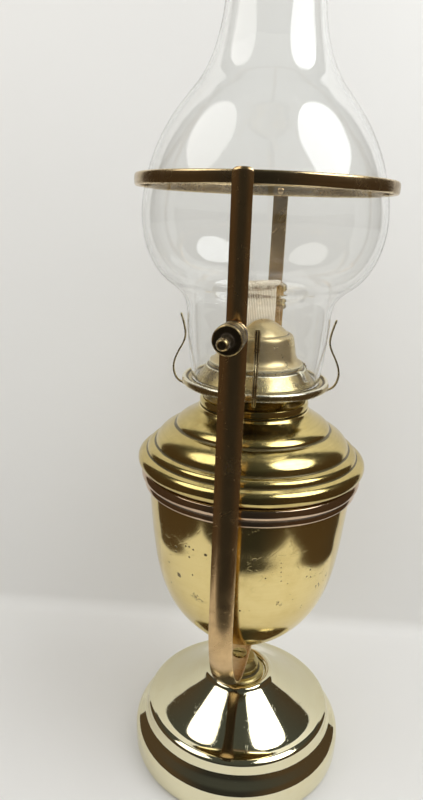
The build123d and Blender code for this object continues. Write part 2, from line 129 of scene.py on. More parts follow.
class Wiring:
    """Places and links the nodes of one tree."""

    def __init__(self, tree: bpy.types.NodeTree) -> None:
        """Args: tree: the node tree to fill."""
        self.tree = tree

    def add(self, kind: str, **settings: object) -> bpy.types.Node:
        """Place a node.

        Args:
            kind: the node's type name.
            settings: properties of the node to set.

        Returns:
            The new node.
        """
        node = self.tree.nodes.new(kind)
        for key, value in settings.items():
            setattr(node, key, value)
        return node

    def feed(self, socket: bpy.types.NodeSocket, value: object) -> None:
        """Link value to socket if it is a socket, or set it as the socket's own value."""
        if isinstance(value, bpy.types.NodeSocket):
            self.tree.links.new(value, socket)
        elif isinstance(value, tuple) and len(value) == 3 and socket.type == "RGBA":
            socket.default_value = (*value, 1.0)
        else:
            socket.default_value = value

    def math(self, operation: str, a: object, b: object = 0.0,
             clamp: bool = False) -> bpy.types.NodeSocket:
        """Return the result of a Math node on a and b."""
        node = self.add("ShaderNodeMath", operation=operation, use_clamp=clamp)
        self.feed(node.inputs[0], a)
        self.feed(node.inputs[1], b)
        return node.outputs[0]

    def vector(self, operation: str, a: object, b: object = (0.0, 0.0, 0.0)) -> bpy.types.Node:
        """Return a Vector Math node on a and b."""
        node = self.add("ShaderNodeVectorMath", operation=operation)
        self.feed(node.inputs[0], a)
        self.feed(node.inputs[1], b)
        return node

    def noise(self, where: object, scale: object, detail: float = 3.0, rough: float = 0.55,
              warp: float = 0.0) -> bpy.types.NodeSocket:
        """Return a noise value at a place.

        Args:
            where: the coordinates.
            scale: how many blotches fit in a metre.
            detail: number of finer layers.
            rough: weight of the finer layers.
            warp: distortion.

        Returns:
            The value, from 0 to 1.
        """
        node = self.add("ShaderNodeTexNoise")
        self.feed(node.inputs["Vector"], where)
        self.feed(node.inputs["Scale"], scale)
        self.feed(node.inputs["Detail"], detail)
        self.feed(node.inputs["Roughness"], rough)
        self.feed(node.inputs["Distortion"], warp)
        return node.outputs["Fac"]

    def remap(self, value: object, low: object, high: object, to_low: object = 0.0,
              to_high: object = 1.0, steps: str = "SMOOTHSTEP") -> bpy.types.NodeSocket:
        """Return value moved from the span low..high to the span to_low..to_high."""
        node = self.add("ShaderNodeMapRange", interpolation_type=steps, clamp=True)
        for name, given in (("Value", value), ("From Min", low), ("From Max", high),
                            ("To Min", to_low), ("To Max", to_high)):
            self.feed(node.inputs[name], given)
        return node.outputs["Result"]

    def tint(self, share: object, a: object, b: object, how: str = "MIX") -> bpy.types.NodeSocket:
        """Return colour a changed towards b by share."""
        node = self.add("ShaderNodeMix", data_type="RGBA", blend_type=how, clamp_factor=True)
        self.feed(node.inputs[0], share)
        self.feed(node.inputs[6], a)
        self.feed(node.inputs[7], b)
        return node.outputs[2]

    def attribute(self, name: Surface) -> bpy.types.Node:
        """Return the node that reads one mesh attribute."""
        return self.add("ShaderNodeAttribute", attribute_name=name.value)

    def place(self) -> bpy.types.NodeSocket:
        """Return the object's own coordinates."""
        return self.add("ShaderNodeTexCoord").outputs["Object"]

    def bump(self, height: object, strength: float, distance: float) -> bpy.types.NodeSocket:
        """Return the normal bent by a height; distance is in metres."""
        node = self.add("ShaderNodeBump")
        node.inputs["Strength"].default_value = strength
        node.inputs["Distance"].default_value = distance
        self.feed(node.inputs["Height"], height)
        return node.outputs[0]

    def principled(self, **inputs: object) -> bpy.types.Node:
        """Place a Principled shader and feed its inputs; an underscore stands for a space."""
        node = self.add("ShaderNodeBsdfPrincipled")
        for key, value in inputs.items():
            self.feed(node.inputs[key.replace("_", " ")], value)
        return node

    def mix(self, share: object, first: bpy.types.Node, second: bpy.types.Node) -> bpy.types.Node:
        """Return a node that mixes two shaders by share."""
        node = self.add("ShaderNodeMixShader")
        self.feed(node.inputs[0], share)
        self.feed(node.inputs[1], first.outputs[0])
        self.feed(node.inputs[2], second.outputs[0])
        return node

    def finish(self, shader: bpy.types.Node) -> None:
        """Send a shader to the material's output."""
        output = self.add("ShaderNodeOutputMaterial")
        self.feed(output.inputs["Surface"], shader.outputs[0])

    def use(self, group: bpy.types.NodeTree, **inputs: object) -> bpy.types.Node:
        """Place a node group and feed its inputs; an underscore in a name stands for a space."""
        node = self.add("ShaderNodeGroup", node_tree=group)
        for key, value in inputs.items():
            self.feed(node.inputs[key.replace("_", " ")], value)
        return node


def blank_material(name: str) -> tuple[bpy.types.Material, Wiring]:
    """Return a new material with no nodes, and the wiring of its tree."""
    material = bpy.data.materials.new(name)
    material.use_nodes = True
    material.node_tree.nodes.clear()
    return material, Wiring(material.node_tree)


# ------------------------------------------------------------------ shared effects


class EffectLibrary:
    """Node groups that several finishes share, each built once."""

    def _begin(self, name: str, takes: Sequence[tuple[str, str, object]],
               gives: Sequence[str]) -> tuple[Wiring, bpy.types.Node, bpy.types.Node]:
        """Open a new group.

        Args:
            name: the group's name.
            takes: input sockets as (name, kind, value).
            gives: names of the value outputs.

        Returns:
            The wiring of the group, and its input and output nodes.
        """
        tree = bpy.data.node_groups.new(name, "ShaderNodeTree")
        for label, kind, value in takes:
            socket = tree.interface.new_socket(label, in_out="INPUT", socket_type=f"NodeSocket{kind}")
            if value is not None:
                socket.default_value = value
        for label in gives:
            tree.interface.new_socket(label, in_out="OUTPUT", socket_type="NodeSocketFloat")
        wiring = Wiring(tree)
        return wiring, wiring.add("NodeGroupInput"), wiring.add("NodeGroupOutput")

    @cache
    def patina(self) -> bpy.types.NodeTree:
        """Soft cloudy patches of tarnish."""
        w, given, made = self._begin("patina_patches", [
            ("Place", "Vector", None), ("Scale", "Float", 60.0), ("Low", "Float", 0.4),
            ("High", "Float", 0.7)], ["Patch"])
        broad = w.noise(given.outputs["Place"], given.outputs["Scale"], 5.0, 0.6, 0.6)
        fine = w.noise(given.outputs["Place"], w.math("MULTIPLY", given.outputs["Scale"], 7.0), 3.0)
        both = w.math("ADD", w.math("MULTIPLY", broad, 0.75), w.math("MULTIPLY", fine, 0.25))
        w.feed(made.inputs["Patch"], w.remap(both, given.outputs["Low"], given.outputs["High"]))
        return w.tree

    @cache
    def pits(self) -> bpy.types.NodeTree:
        """Small dark specks that gather in clusters."""
        w, given, made = self._begin("pit_specks", [
            ("Place", "Vector", None), ("Scale", "Float", 500.0), ("Amount", "Float", 0.3)], ["Speck"])
        cell = w.add("ShaderNodeTexVoronoi", feature="F1")
        w.feed(cell.inputs["Vector"], given.outputs["Place"])
        w.feed(cell.inputs["Scale"], given.outputs["Scale"])
        chance = w.add("ShaderNodeSeparateColor")
        w.feed(chance.inputs[0], cell.outputs["Color"])
        cluster = w.noise(given.outputs["Place"], w.math("MULTIPLY", given.outputs["Scale"], 0.09), 3.0)
        often = w.math("MULTIPLY", w.remap(cluster, 0.45, 0.7), given.outputs["Amount"])
        size = w.math("MULTIPLY", w.remap(w.math("SUBTRACT", often, chance.outputs[0]), 0.0, 0.6), 0.5)
        edge = w.math("SUBTRACT", size, cell.outputs["Distance"])
        w.feed(made.inputs["Speck"], w.remap(edge, 0.0, 0.12))
        return w.tree

    @cache
    def tool_marks(self) -> bpy.types.NodeTree:
        """Fine lines left by the lathe or the drawing bench, along the grain attribute."""
        w, given, made = self._begin("tool_marks", [
            ("Grain", "Vector", None), ("Fineness", "Float", 4000.0), ("Slow", "Float", 40.0)],
            ["Line", "Streak"])
        parts = w.add("ShaderNodeSeparateXYZ")
        w.feed(parts.inputs[0], given.outputs["Grain"])
        join = w.add("ShaderNodeCombineXYZ")
        w.feed(join.inputs[0], w.math("MULTIPLY", parts.outputs[0], given.outputs["Fineness"]))
        w.feed(join.inputs[1], w.math("MULTIPLY", parts.outputs[1], given.outputs["Slow"]))
        w.feed(join.inputs[2], w.math("MULTIPLY", parts.outputs[2], given.outputs["Slow"]))
        w.feed(made.inputs["Line"], w.noise(join.outputs[0], 1.0, 2.0, 0.6))
        broad = w.vector("MULTIPLY", join.outputs[0], (0.16, 0.6, 0.6)).outputs[0]
        w.feed(made.inputs["Streak"], w.noise(broad, 1.0, 3.0, 0.6))
        return w.tree

    @cache
    def scratches(self) -> bpy.types.NodeTree:
        """Thin stray scratches in all directions, as handling leaves them."""
        w, given, made = self._begin("hair_scratches", [
            ("Place", "Vector", None), ("Scale", "Float", 90.0), ("Width", "Float", 0.012)], ["Scratch"])
        total: object = 0.0
        for spin, stretch in ((0.5, (1.0, 0.16, 1.0)), (1.9, (0.2, 1.0, 0.8)), (2.7, (1.0, 0.25, 0.3))):
            turn = w.add("ShaderNodeVectorRotate", rotation_type="AXIS_ANGLE")
            w.feed(turn.inputs["Vector"], given.outputs["Place"])
            turn.inputs["Axis"].default_value = (0.3, 0.5, 0.8)
            turn.inputs["Angle"].default_value = spin
            cell = w.add("ShaderNodeTexVoronoi", feature="DISTANCE_TO_EDGE")
            w.feed(cell.inputs["Vector"], w.vector("MULTIPLY", turn.outputs[0], stretch).outputs[0])
            w.feed(cell.inputs["Scale"], given.outputs["Scale"])
            line = w.remap(cell.outputs["Distance"], 0.0, given.outputs["Width"], 1.0, 0.0)
            total = w.math("MAXIMUM", total, line)
        broken = w.remap(w.noise(given.outputs["Place"], 260.0, 3.0), 0.48, 0.62)
        w.feed(made.inputs["Scratch"], w.math("MULTIPLY", total, broken))
        return w.tree

    @cache
    def handling(self) -> bpy.types.NodeTree:
        """Bright rubbed edges and dirt held in hollows, broken up unevenly."""
        w, given, made = self._begin("rubbed_and_held", [
            ("Place", "Vector", None), ("Edge", "Float", 0.0), ("Hollow", "Float", 0.0),
            ("Rub", "Float", 0.5), ("Dirt", "Float", 0.5)], ["Rubbed", "Dirty"])
        rough = w.noise(given.outputs["Place"], 420.0, 5.0, 0.65)
        soft = w.noise(given.outputs["Place"], 90.0, 4.0, 0.6)
        rub = w.math("MULTIPLY", given.outputs["Edge"], given.outputs["Rub"])
        level = w.math("SUBTRACT", w.math("MULTIPLY", rub, 1.5), rough)
        w.feed(made.inputs["Rubbed"], w.remap(level, -0.15, 0.2))
        dirt = w.math("MULTIPLY", given.outputs["Hollow"], given.outputs["Dirt"])
        level = w.math("SUBTRACT", w.math("MULTIPLY", dirt, 1.6), soft)
        w.feed(made.inputs["Dirty"], w.remap(level, -0.25, 0.35))
        return w.tree


EFFECTS = EffectLibrary()


# ------------------------------------------------------------------ finishes


@dataclass(frozen=True)
class Stain:
    """One dark mark: its angle about the axis in degrees, height and radius in mm, and depth of tone."""

    angle: float
    height: float
    radius: float
    tone: float = 0.9


@dataclass(frozen=True)
class BrassFinish:
    """A brass surface from clean metal to patina, with its tool marks, pits, wear and dirt."""

    name: str
    metal: Colour
    aged: Colour
    grime: Colour = (0.035, 0.024, 0.012)
    rubbed: Colour = (0.90, 0.74, 0.42)
    rough: float = 0.15
    rough_aged: float = 0.35
    patina: tuple[float, float, float] = (45.0, 0.42, 0.72)
    patina_share: float = 0.6
    fineness: float = 5000.0
    slow: float = 60.0
    mark_depth: float = 0.15
    streaks: float = 0.1
    pits: tuple[float, float] = (500.0, 0.0)
    scratch: float = 0.3
    scratch_scale: float = 90.0
    rub: float = 0.3
    dirt: float = 0.6
    ripple: float = 0.0
    stains: tuple[Stain, ...] = ()
    clusters: tuple[Stain, ...] = ()
    stain_radius_at: Callable[[float], float] | None = None

    def _stain_mask(self, w: Wiring, place: bpy.types.NodeSocket) -> object:
        """Return the mask of this finish's placed marks, with ragged outlines."""
        total: object = 0.0
        ragged = w.math("MULTIPLY", w.noise(place, 900.0, 3.0), 0.9)
        ragged = w.math("ADD", ragged, 0.55)
        for mark in self.stains:
            far = w.vector("DISTANCE", place, tuple(self._spot(mark))).outputs["Value"]
            size = mark.radius * MM
            near = w.remap(w.math("MULTIPLY", far, ragged), size * 0.65, size * 1.15, mark.tone, 0.0)
            total = w.math("MAXIMUM", total, near)
        speck = w.use(EFFECTS.pits(), Place=place, Scale=1500.0, Amount=1.6).outputs["Speck"]
        for mark in self.clusters:
            far = w.vector("DISTANCE", place, tuple(self._spot(mark))).outputs["Value"]
            size = mark.radius * MM
            near = w.remap(far, size * 0.5, size, mark.tone, 0.0)
            total = w.math("MAXIMUM", total, w.math("MULTIPLY", near, speck))
        return total

    def _spot(self, mark: Stain) -> Vector:
        """Return the middle of a mark on the surface, in metres."""
        radius = self.stain_radius_at(mark.height) if self.stain_radius_at else 0.0
        angle = math.radians(mark.angle)
        return Vector((radius * math.cos(angle), radius * math.sin(angle), mark.height)) * MM

    def build(self) -> bpy.types.Material:
        """Make the material.

        Returns:
            The material, ready to assign.
        """
        material, w = blank_material(self.name)
        material.diffuse_color = (*self.metal, 1.0)
        place = w.place()
        marks = w.use(EFFECTS.tool_marks(), Grain=w.attribute(Surface.GRAIN).outputs["Vector"],
                      Fineness=self.fineness, Slow=self.slow)
        patch = w.use(EFFECTS.patina(), Place=place, Scale=self.patina[0], Low=self.patina[1],
                      High=self.patina[2]).outputs["Patch"]
        scratch = w.use(EFFECTS.scratches(), Place=place, Scale=self.scratch_scale).outputs["Scratch"]
        hand = w.use(EFFECTS.handling(), Place=place, Edge=w.attribute(Surface.WEAR).outputs["Fac"],
                     Hollow=w.attribute(Surface.HOLLOW).outputs["Fac"], Rub=self.rub, Dirt=self.dirt)
        rubbed, dirty = hand.outputs["Rubbed"], hand.outputs["Dirty"]
        streak = w.remap(marks.outputs["Streak"], 0.35, 0.75)

        aged = w.math("MULTIPLY", patch, self.patina_share)
        colour = w.tint(aged, self.metal, self.aged)
        colour = w.tint(w.math("MULTIPLY", streak, self.streaks), colour, self.aged)
        colour = w.tint(rubbed, colour, self.rubbed)
        colour = w.tint(w.math("MULTIPLY", dirty, 0.85), colour, self.grime)
        dull = w.math("MAXIMUM", aged, dirty)
        metallic = w.remap(dirty, 0.2, 1.0, 1.0, 0.55)
        height = w.math("MULTIPLY", marks.outputs["Line"], self.mark_depth)
        height = w.math("SUBTRACT", height, w.math("MULTIPLY", scratch, self.scratch * 0.6))
        if self.pits[1] > 0.0:
            speck = w.use(EFFECTS.pits(), Place=place, Scale=self.pits[0],
                          Amount=self.pits[1]).outputs["Speck"]
            colour = w.tint(w.math("MULTIPLY", speck, 0.85), colour, self.grime)
            metallic = w.math("SUBTRACT", metallic, w.math("MULTIPLY", speck, 0.5), clamp=True)
            dull = w.math("MAXIMUM", dull, speck)
            height = w.math("SUBTRACT", height, w.math("MULTIPLY", speck, 0.8))
        if self.stains:
            mask = self._stain_mask(w, place)
            colour = w.tint(mask, colour, self.grime)
            metallic = w.math("SUBTRACT", metallic, w.math("MULTIPLY", mask, 0.6), clamp=True)
            dull = w.math("MAXIMUM", dull, mask)
            height = w.math("SUBTRACT", height, mask)
        if self.ripple > 0.0:
            height = w.math("ADD", height, w.math("MULTIPLY", w.noise(place, 38.0, 2.0), self.ripple))
        roughness = w.remap(dull, 0.0, 1.0, self.rough, self.rough_aged, "LINEAR")
        roughness = w.math("ADD", roughness, w.math("MULTIPLY", scratch, self.scratch * 0.25))

        w.finish(w.principled(Base_Color=colour, Metallic=metallic, Roughness=roughness,
                              Normal=w.bump(height, 0.6, 0.00012)))
        return material


@dataclass(frozen=True)
class GlassFinish:
    """Clear blown glass that lets lamplight and studio light through."""

    name: str = "blown_glass"
    tone: Colour = (0.985, 0.99, 0.985)

    def build(self) -> bpy.types.Material:
        """Make the material and return it."""
        material, w = blank_material(self.name)
        place = w.place()
        wave = w.noise(w.vector("MULTIPLY", place, (1.0, 1.0, 0.35)).outputs[0], 26.0, 2.0)
        haze = w.remap(w.noise(place, 40.0, 4.0), 0.45, 0.8, 0.0, 0.03)
        shader = w.principled(Base_Color=self.tone, Metallic=0.0, Transmission_Weight=1.0, IOR=1.47,
                              Roughness=haze, Normal=w.bump(wave, 0.25, 0.0006))
        path = w.add("ShaderNodeLightPath")
        clear = w.add("ShaderNodeBsdfTransparent")
        clear.inputs[0].default_value = (0.96, 0.965, 0.96, 1.0)
        w.finish(w.mix(path.outputs["Is Shadow Ray"], shader, clear))
        return material


@dataclass(frozen=True)
class CottonFinish:
    """Knitted cotton with a scorched line below its frayed top, and painted shade in the grooves between its
    ribs.
    """

    name: str = "wick_cotton"
    light: Colour = (0.86, 0.77, 0.61)
    shade: Colour = (0.46, 0.36, 0.23)
    scorch: Colour = (0.16, 0.09, 0.04)
    scorch_height: float = 296.7
    soak_height: float = 282.0

    def build(self) -> bpy.types.Material:
        """Make the material and return it."""
        material, w = blank_material(self.name)
        place = w.place()
        parts = w.add("ShaderNodeSeparateXYZ")
        w.feed(parts.inputs[0], place)
        yarn = w.attribute(Surface.RIB_SHADE).outputs["Fac"]
        fibre = w.noise(place, 5200.0, 4.0, 0.7)
        # Painted shade and light: by rib height, the grooves between the ribs take the shade colour and the
        # rib crests take the light colour.
        colour = w.tint(w.remap(yarn, 0.0, 0.8), self.shade, self.light)
        colour = w.tint(w.remap(fibre, 0.35, 0.75, 0.0, 0.35), colour, self.shade)
        blotch = w.remap(w.noise(place, 240.0, 4.0, 0.6), 0.45, 0.75)
        colour = w.tint(w.math("MULTIPLY", blotch, 0.25), colour, (0.62, 0.48, 0.30))
        wander = w.math("MULTIPLY", w.math("SUBTRACT", w.noise(place, 300.0, 3.0), 0.5), 0.0036)
        level = w.math("ADD", w.math("SUBTRACT", parts.outputs[2], self.scorch_height * MM), wander)
        line = w.remap(w.math("ABSOLUTE", level), 0.0004, 0.0017, 1.0, 0.0)
        dotted = w.remap(w.noise(place, 1100.0, 2.0), 0.36, 0.56)
        colour = w.tint(w.math("MULTIPLY", w.math("MULTIPLY", line, dotted), 0.8), colour, self.scorch)
        damp = w.remap(parts.outputs[2], 0.236, self.soak_height * MM, 0.55, 0.0)
        colour = w.tint(damp, colour, (0.34, 0.25, 0.13))
        w.finish(w.principled(Base_Color=colour, Roughness=0.92, Sheen_Weight=0.35,
                              Sheen_Roughness=0.5, Normal=w.bump(fibre, 0.7, 0.0002)))
        return material


@dataclass(frozen=True)
class DullFinish:
    """Felt or rough iron: a matt colour with grain and small lumps."""

    name: str
    colour: Colour
    other: Colour
    scale: float
    rough: float
    depth: float
    metallic: float = 0.0

    def build(self) -> bpy.types.Material:
        """Make the material and return it."""
        material, w = blank_material(self.name)
        place = w.place()
        grain = w.noise(place, self.scale, 5.0, 0.7)
        patch = w.use(EFFECTS.patina(), Place=place, Scale=70.0, Low=0.35, High=0.7).outputs["Patch"]
        colour = w.tint(w.remap(grain, 0.3, 0.7), self.colour, self.other)
        colour = w.tint(w.math("MULTIPLY", patch, 0.4), colour, self.other)
        w.finish(w.principled(
            Base_Color=colour, Metallic=self.metallic,
            Roughness=w.remap(patch, 0.0, 1.0, self.rough, self.rough - 0.08),
            Normal=w.bump(grain, 0.8, self.depth * MM)))
        return material


BOWL_LINE: tuple[Point2, ...] = (
    (0.0, 79.4), (7.5, 80.0), (15.0, 82.0), (22.0, 85.4), (28.7, 90.2), (34.7, 96.0), (40.0, 102.0),
    (44.1, 108.0), (47.4, 114.0), (49.9, 120.0), (51.9, 126.0), (53.4, 132.0), (54.6, 138.0),
    (55.5, 144.0), (56.3, 150.0), (57.0, 156.0), (57.6, 163.0), (58.4, 171.6), (58.9, 180.0),
    (59.2, 188.0), (59.3, 195.7))


def bowl_radius(height: float) -> float:
    """Return the bowl's outer radius at a height, both in millimetres."""
    return float(np.interp(height, [p[1] for p in BOWL_LINE], [p[0] for p in BOWL_LINE]))


BOWL_STAINS: tuple[Stain, ...] = (
    Stain(-123.3, 160.8, 0.75), Stain(-123.5, 157.8, 0.65), Stain(-115.6, 164.5, 0.6),
    Stain(-113.2, 164.9, 0.6), Stain(-110.6, 164.0, 0.55), Stain(-113.4, 158.4, 0.55),
    Stain(-102.9, 163.2, 0.9), Stain(-122.4, 142.9, 1.6, 0.8), Stain(-131.3, 147.2, 0.55),
    Stain(-111.7, 147.5, 0.5), Stain(-132.0, 132.9, 0.5), Stain(-76.8, 164.3, 1.1),
    Stain(-80.0, 162.5, 0.5), Stain(-62.3, 161.7, 0.35, 0.7), Stain(-62.0, 158.9, 0.3, 0.6),
    Stain(-61.7, 156.0, 0.4, 0.7), Stain(-61.4, 153.0, 0.3, 0.6), Stain(-61.0, 150.1, 0.4, 0.7),
    Stain(20.0, 150.0, 0.8), Stain(35.0, 166.0, 0.6), Stain(95.0, 158.0, 0.9),
    Stain(110.0, 139.0, 0.7), Stain(160.0, 161.0, 0.7), Stain(62.0, 146.0, 1.2, 0.7))

BOWL_CLUSTERS: tuple[Stain, ...] = (
    Stain(-61.7, 133.3, 4.2), Stain(-41.2, 127.5, 3.8), Stain(-108.8, 136.9, 8.5),
    Stain(-144.5, 141.5, 4.0), Stain(70.0, 131.0, 6.0), Stain(150.0, 140.0, 5.0))


@dataclass
class FinishRack:
    """Every finish of the lamp, made into a material the first time it is asked for."""

    made: dict[str, bpy.types.Material] = field(default_factory=dict)

    def _take(self, finish: BrassFinish | GlassFinish | CottonFinish | DullFinish) -> bpy.types.Material:
        """Return the material of a finish, building it once."""
        if finish.name not in self.made:
            self.made[finish.name] = finish.build()
        return self.made[finish.name]

    def foot(self) -> bpy.types.Material:
        """Pale mirror-polished brass of the foot."""
        return self._take(BrassFinish(
            "foot_brass", metal=(0.90, 0.845, 0.60), aged=(0.78, 0.66, 0.36), rough=0.055,
            rough_aged=0.16, patina=(30.0, 0.45, 0.8), patina_share=0.35, mark_depth=0.05,
            scratch=0.12, scratch_scale=130.0, rub=0.1, dirt=0.4, ripple=0.5, pits=(700.0, 0.12),
            grime=(0.10, 0.07, 0.03)))

    def bowl(self) -> bpy.types.Material:
        """Yellow brass of the bowl with its pits and placed marks."""
        return self._take(BrassFinish(
            "bowl_brass", metal=(0.86, 0.70, 0.32), aged=(0.72, 0.54, 0.20), rough=0.10,
            rough_aged=0.24, patina=(28.0, 0.4, 0.75), patina_share=0.7, mark_depth=0.06,
            streaks=0.2, scratch=0.25, rub=0.1, dirt=0.7, ripple=0.9, pits=(620.0, 0.55),
            stains=BOWL_STAINS, clusters=BOWL_CLUSTERS, stain_radius_at=bowl_radius))

    def shoulder(self) -> bpy.types.Material:
        """Olive-gold satin brass of the stepped shoulder."""
        return self._take(BrassFinish(
            "shoulder_brass", metal=(0.72, 0.58, 0.24), aged=(0.50, 0.38, 0.13), rough=0.12,
            rough_aged=0.24, patina=(42.0, 0.38, 0.72), patina_share=0.7, mark_depth=0.14,
            streaks=0.35, scratch=0.3, rub=0.55, dirt=0.95, ripple=0.9, pits=(520.0, 0.3),
            rubbed=(0.92, 0.80, 0.46)))

    def hub(self) -> bpy.types.Material:
        """Dull gold of the yoke's hub."""
        return self._take(BrassFinish(
            "hub_brass", metal=(0.62, 0.52, 0.23), aged=(0.40, 0.31, 0.11), rough=0.26,
            rough_aged=0.45, patina=(120.0, 0.35, 0.7), patina_share=0.8, mark_depth=0.3,
            rub=0.5, dirt=0.9, pits=(700.0, 0.3)))

    def frame(self) -> bpy.types.Material:
        """Aged drawn strip of the yoke and the swinging frame."""
        return self._take(BrassFinish(
            "strip_bronze", metal=(0.74, 0.51, 0.26), aged=(0.54, 0.37, 0.18), rough=0.18,
            rough_aged=0.34, patina=(70.0, 0.36, 0.72), patina_share=0.75, fineness=6500.0,
            slow=90.0, mark_depth=0.22, streaks=0.45, scratch=0.2, scratch_scale=70.0, rub=0.35,
            dirt=0.6, pits=(420.0, 0.35), rubbed=(0.80, 0.64, 0.38)))

    def top_ring(self) -> bpy.types.Material:
        """Aged bronze of the chimney ring."""
        return self._take(BrassFinish(
            "ring_bronze", metal=(0.60, 0.46, 0.26), aged=(0.36, 0.26, 0.14), rough=0.17,
            rough_aged=0.4, patina=(60.0, 0.38, 0.7), patina_share=0.75, fineness=6500.0,
            slow=120.0, mark_depth=0.2, streaks=0.5, scratch=0.2, rub=0.4, dirt=0.6,
            pits=(500.0, 0.25), rubbed=(0.80, 0.64, 0.38)))

    def font_ring(self) -> bpy.types.Material:
        """Coppery polished ring round the font."""
        return self._take(BrassFinish(
            "ring_copper", metal=(0.68, 0.51, 0.36), aged=(0.44, 0.29, 0.17), rough=0.10,
            rough_aged=0.24, patina=(50.0, 0.4, 0.72), patina_share=0.65, mark_depth=0.08,
            scratch=0.3, rub=0.3, dirt=0.6, pits=(620.0, 0.25), rubbed=(0.9, 0.76, 0.6)))

    def burner(self) -> bpy.types.Material:
        """Pale satin brass of the burner, with soot and chipped bright spots."""
        return self._take(BrassFinish(
            "burner_brass", metal=(0.66, 0.54, 0.28), aged=(0.42, 0.32, 0.14), rough=0.2,
            rough_aged=0.38, patina=(85.0, 0.36, 0.68), patina_share=0.8, mark_depth=0.2,
            streaks=0.3, scratch=0.4, rub=0.9, dirt=1.0, pits=(640.0, 0.5),
            rubbed=(0.95, 0.90, 0.72)))

    def dome(self) -> bpy.types.Material:
        """Smoked satin brass of the flame spreader."""
        return self._take(BrassFinish(
            "dome_brass", metal=(0.74, 0.60, 0.33), aged=(0.54, 0.41, 0.20), rough=0.27,
            rough_aged=0.38, patina=(110.0, 0.35, 0.7), patina_share=0.7, mark_depth=0.2,
            streaks=0.3, scratch=0.3, rub=0.5, dirt=0.45, pits=(700.0, 0.2),
            rubbed=(0.85, 0.75, 0.50)))

    def spring(self) -> bpy.types.Material:
        """Darkened spring brass of the prongs and the wick winder."""
        return self._take(BrassFinish(
            "spring_brass", metal=(0.42, 0.34, 0.18), aged=(0.18, 0.13, 0.06), rough=0.22,
            rough_aged=0.42, patina=(150.0, 0.35, 0.65), patina_share=0.8, mark_depth=0.2,
            rub=0.8, dirt=0.8, rubbed=(0.85, 0.72, 0.42)))

    def knob(self) -> bpy.types.Material:
        """Blackened thumb nuts with gold showing on their edges."""
        return self._take(BrassFinish(
            "nut_bronze", metal=(0.20, 0.15, 0.085), aged=(0.08, 0.058, 0.034), rough=0.26,
            rough_aged=0.5, patina=(160.0, 0.3, 0.62), patina_share=0.9, mark_depth=0.2,
            scratch=0.3, rub=0.36, dirt=0.9, pits=(800.0, 0.5), rubbed=(0.80, 0.62, 0.30)))

    def glass(self) -> bpy.types.Material:
        """Clear chimney glass."""
        return self._take(GlassFinish())

    def cotton(self) -> bpy.types.Material:
        """Knitted wick."""
        return self._take(CottonFinish())

    def iron(self) -> bpy.types.Material:
        """Cast ballast in the foot."""
        return self._take(DullFinish("cast_ballast", (0.10, 0.095, 0.09), (0.17, 0.12, 0.09),
                                     900.0, 0.7, 0.25, 0.6))

    def felt(self) -> bpy.types.Material:
        """Felt pad under the foot."""
        return self._take(DullFinish("wool_felt", (0.035, 0.13, 0.07), (0.07, 0.20, 0.11),
                                     2600.0, 0.95, 0.5))


# ------------------------------------------------------------------ making meshes


def smooth_line(points: Sequence[Point2], step: float) -> list[Point2]:
    """Draw an even curve through the points of a profile.

    Args:
        points: the stations of the profile, in millimetres.
        step: the greatest distance between two points of the result.

    Returns:
        The points of the curve, ends included.
    """
    stations = [Vector((*p, 0.0)) for p in points]
    drawn = [stations[0]]
    for i in range(len(stations) - 1):
        p1, p2 = stations[i], stations[i + 1]
        p0 = stations[i - 1] if i > 0 else p1 * 2 - p2
        p3 = stations[i + 2] if i + 2 < len(stations) else p2 * 2 - p1
        t1 = max(math.sqrt((p1 - p0).length), 1e-4)
        t2 = t1 + max(math.sqrt((p2 - p1).length), 1e-4)
        t3 = t2 + max(math.sqrt((p3 - p2).length), 1e-4)
        count = max(2, math.ceil((p2 - p1).length / step))
        for k in range(1, count + 1):
            t = t1 + (t2 - t1) * k / count
            a1 = p0 * ((t1 - t) / t1) + p1 * (t / t1)
            a2 = p1 * ((t2 - t) / (t2 - t1)) + p2 * ((t - t1) / (t2 - t1))
            a3 = p2 * ((t3 - t) / (t3 - t2)) + p3 * ((t - t2) / (t3 - t2))
            b1 = a1 * ((t2 - t) / t2) + a2 * (t / t2)
            b2 = a2 * ((t3 - t) / (t3 - t1)) + a3 * ((t - t1) / (t3 - t1))
            drawn.append(b1 * ((t2 - t) / (t2 - t1)) + b2 * ((t - t1) / (t2 - t1)))
    return [(p.x, p.y) for p in drawn]


def inside_line(points: Sequence[Point2], wall: float) -> list[Point2]:
    """Return the profile moved inwards by a wall, reversed, so that the two make one loop."""
    moved = []
    last = len(points) - 1
    for i, (r, z) in enumerate(points):
        r0, z0 = points[max(i - 1, 0)]
        r1, z1 = points[min(i + 1, last)]
        length = math.hypot(r1 - r0, z1 - z0) or 1.0
        moved.append((max(r - wall * (z1 - z0) / length, 0.0), z + wall * (r1 - r0) / length))
    return moved[::-1]


def shade(mesh: bpy.types.Mesh, crease: float = 38.0) -> None:
    """Smooth a mesh apart from edges sharper than crease degrees."""
    mesh.polygons.foreach_set("use_smooth", [True] * len(mesh.polygons))
    mesh.set_sharp_from_angle(angle=math.radians(crease))


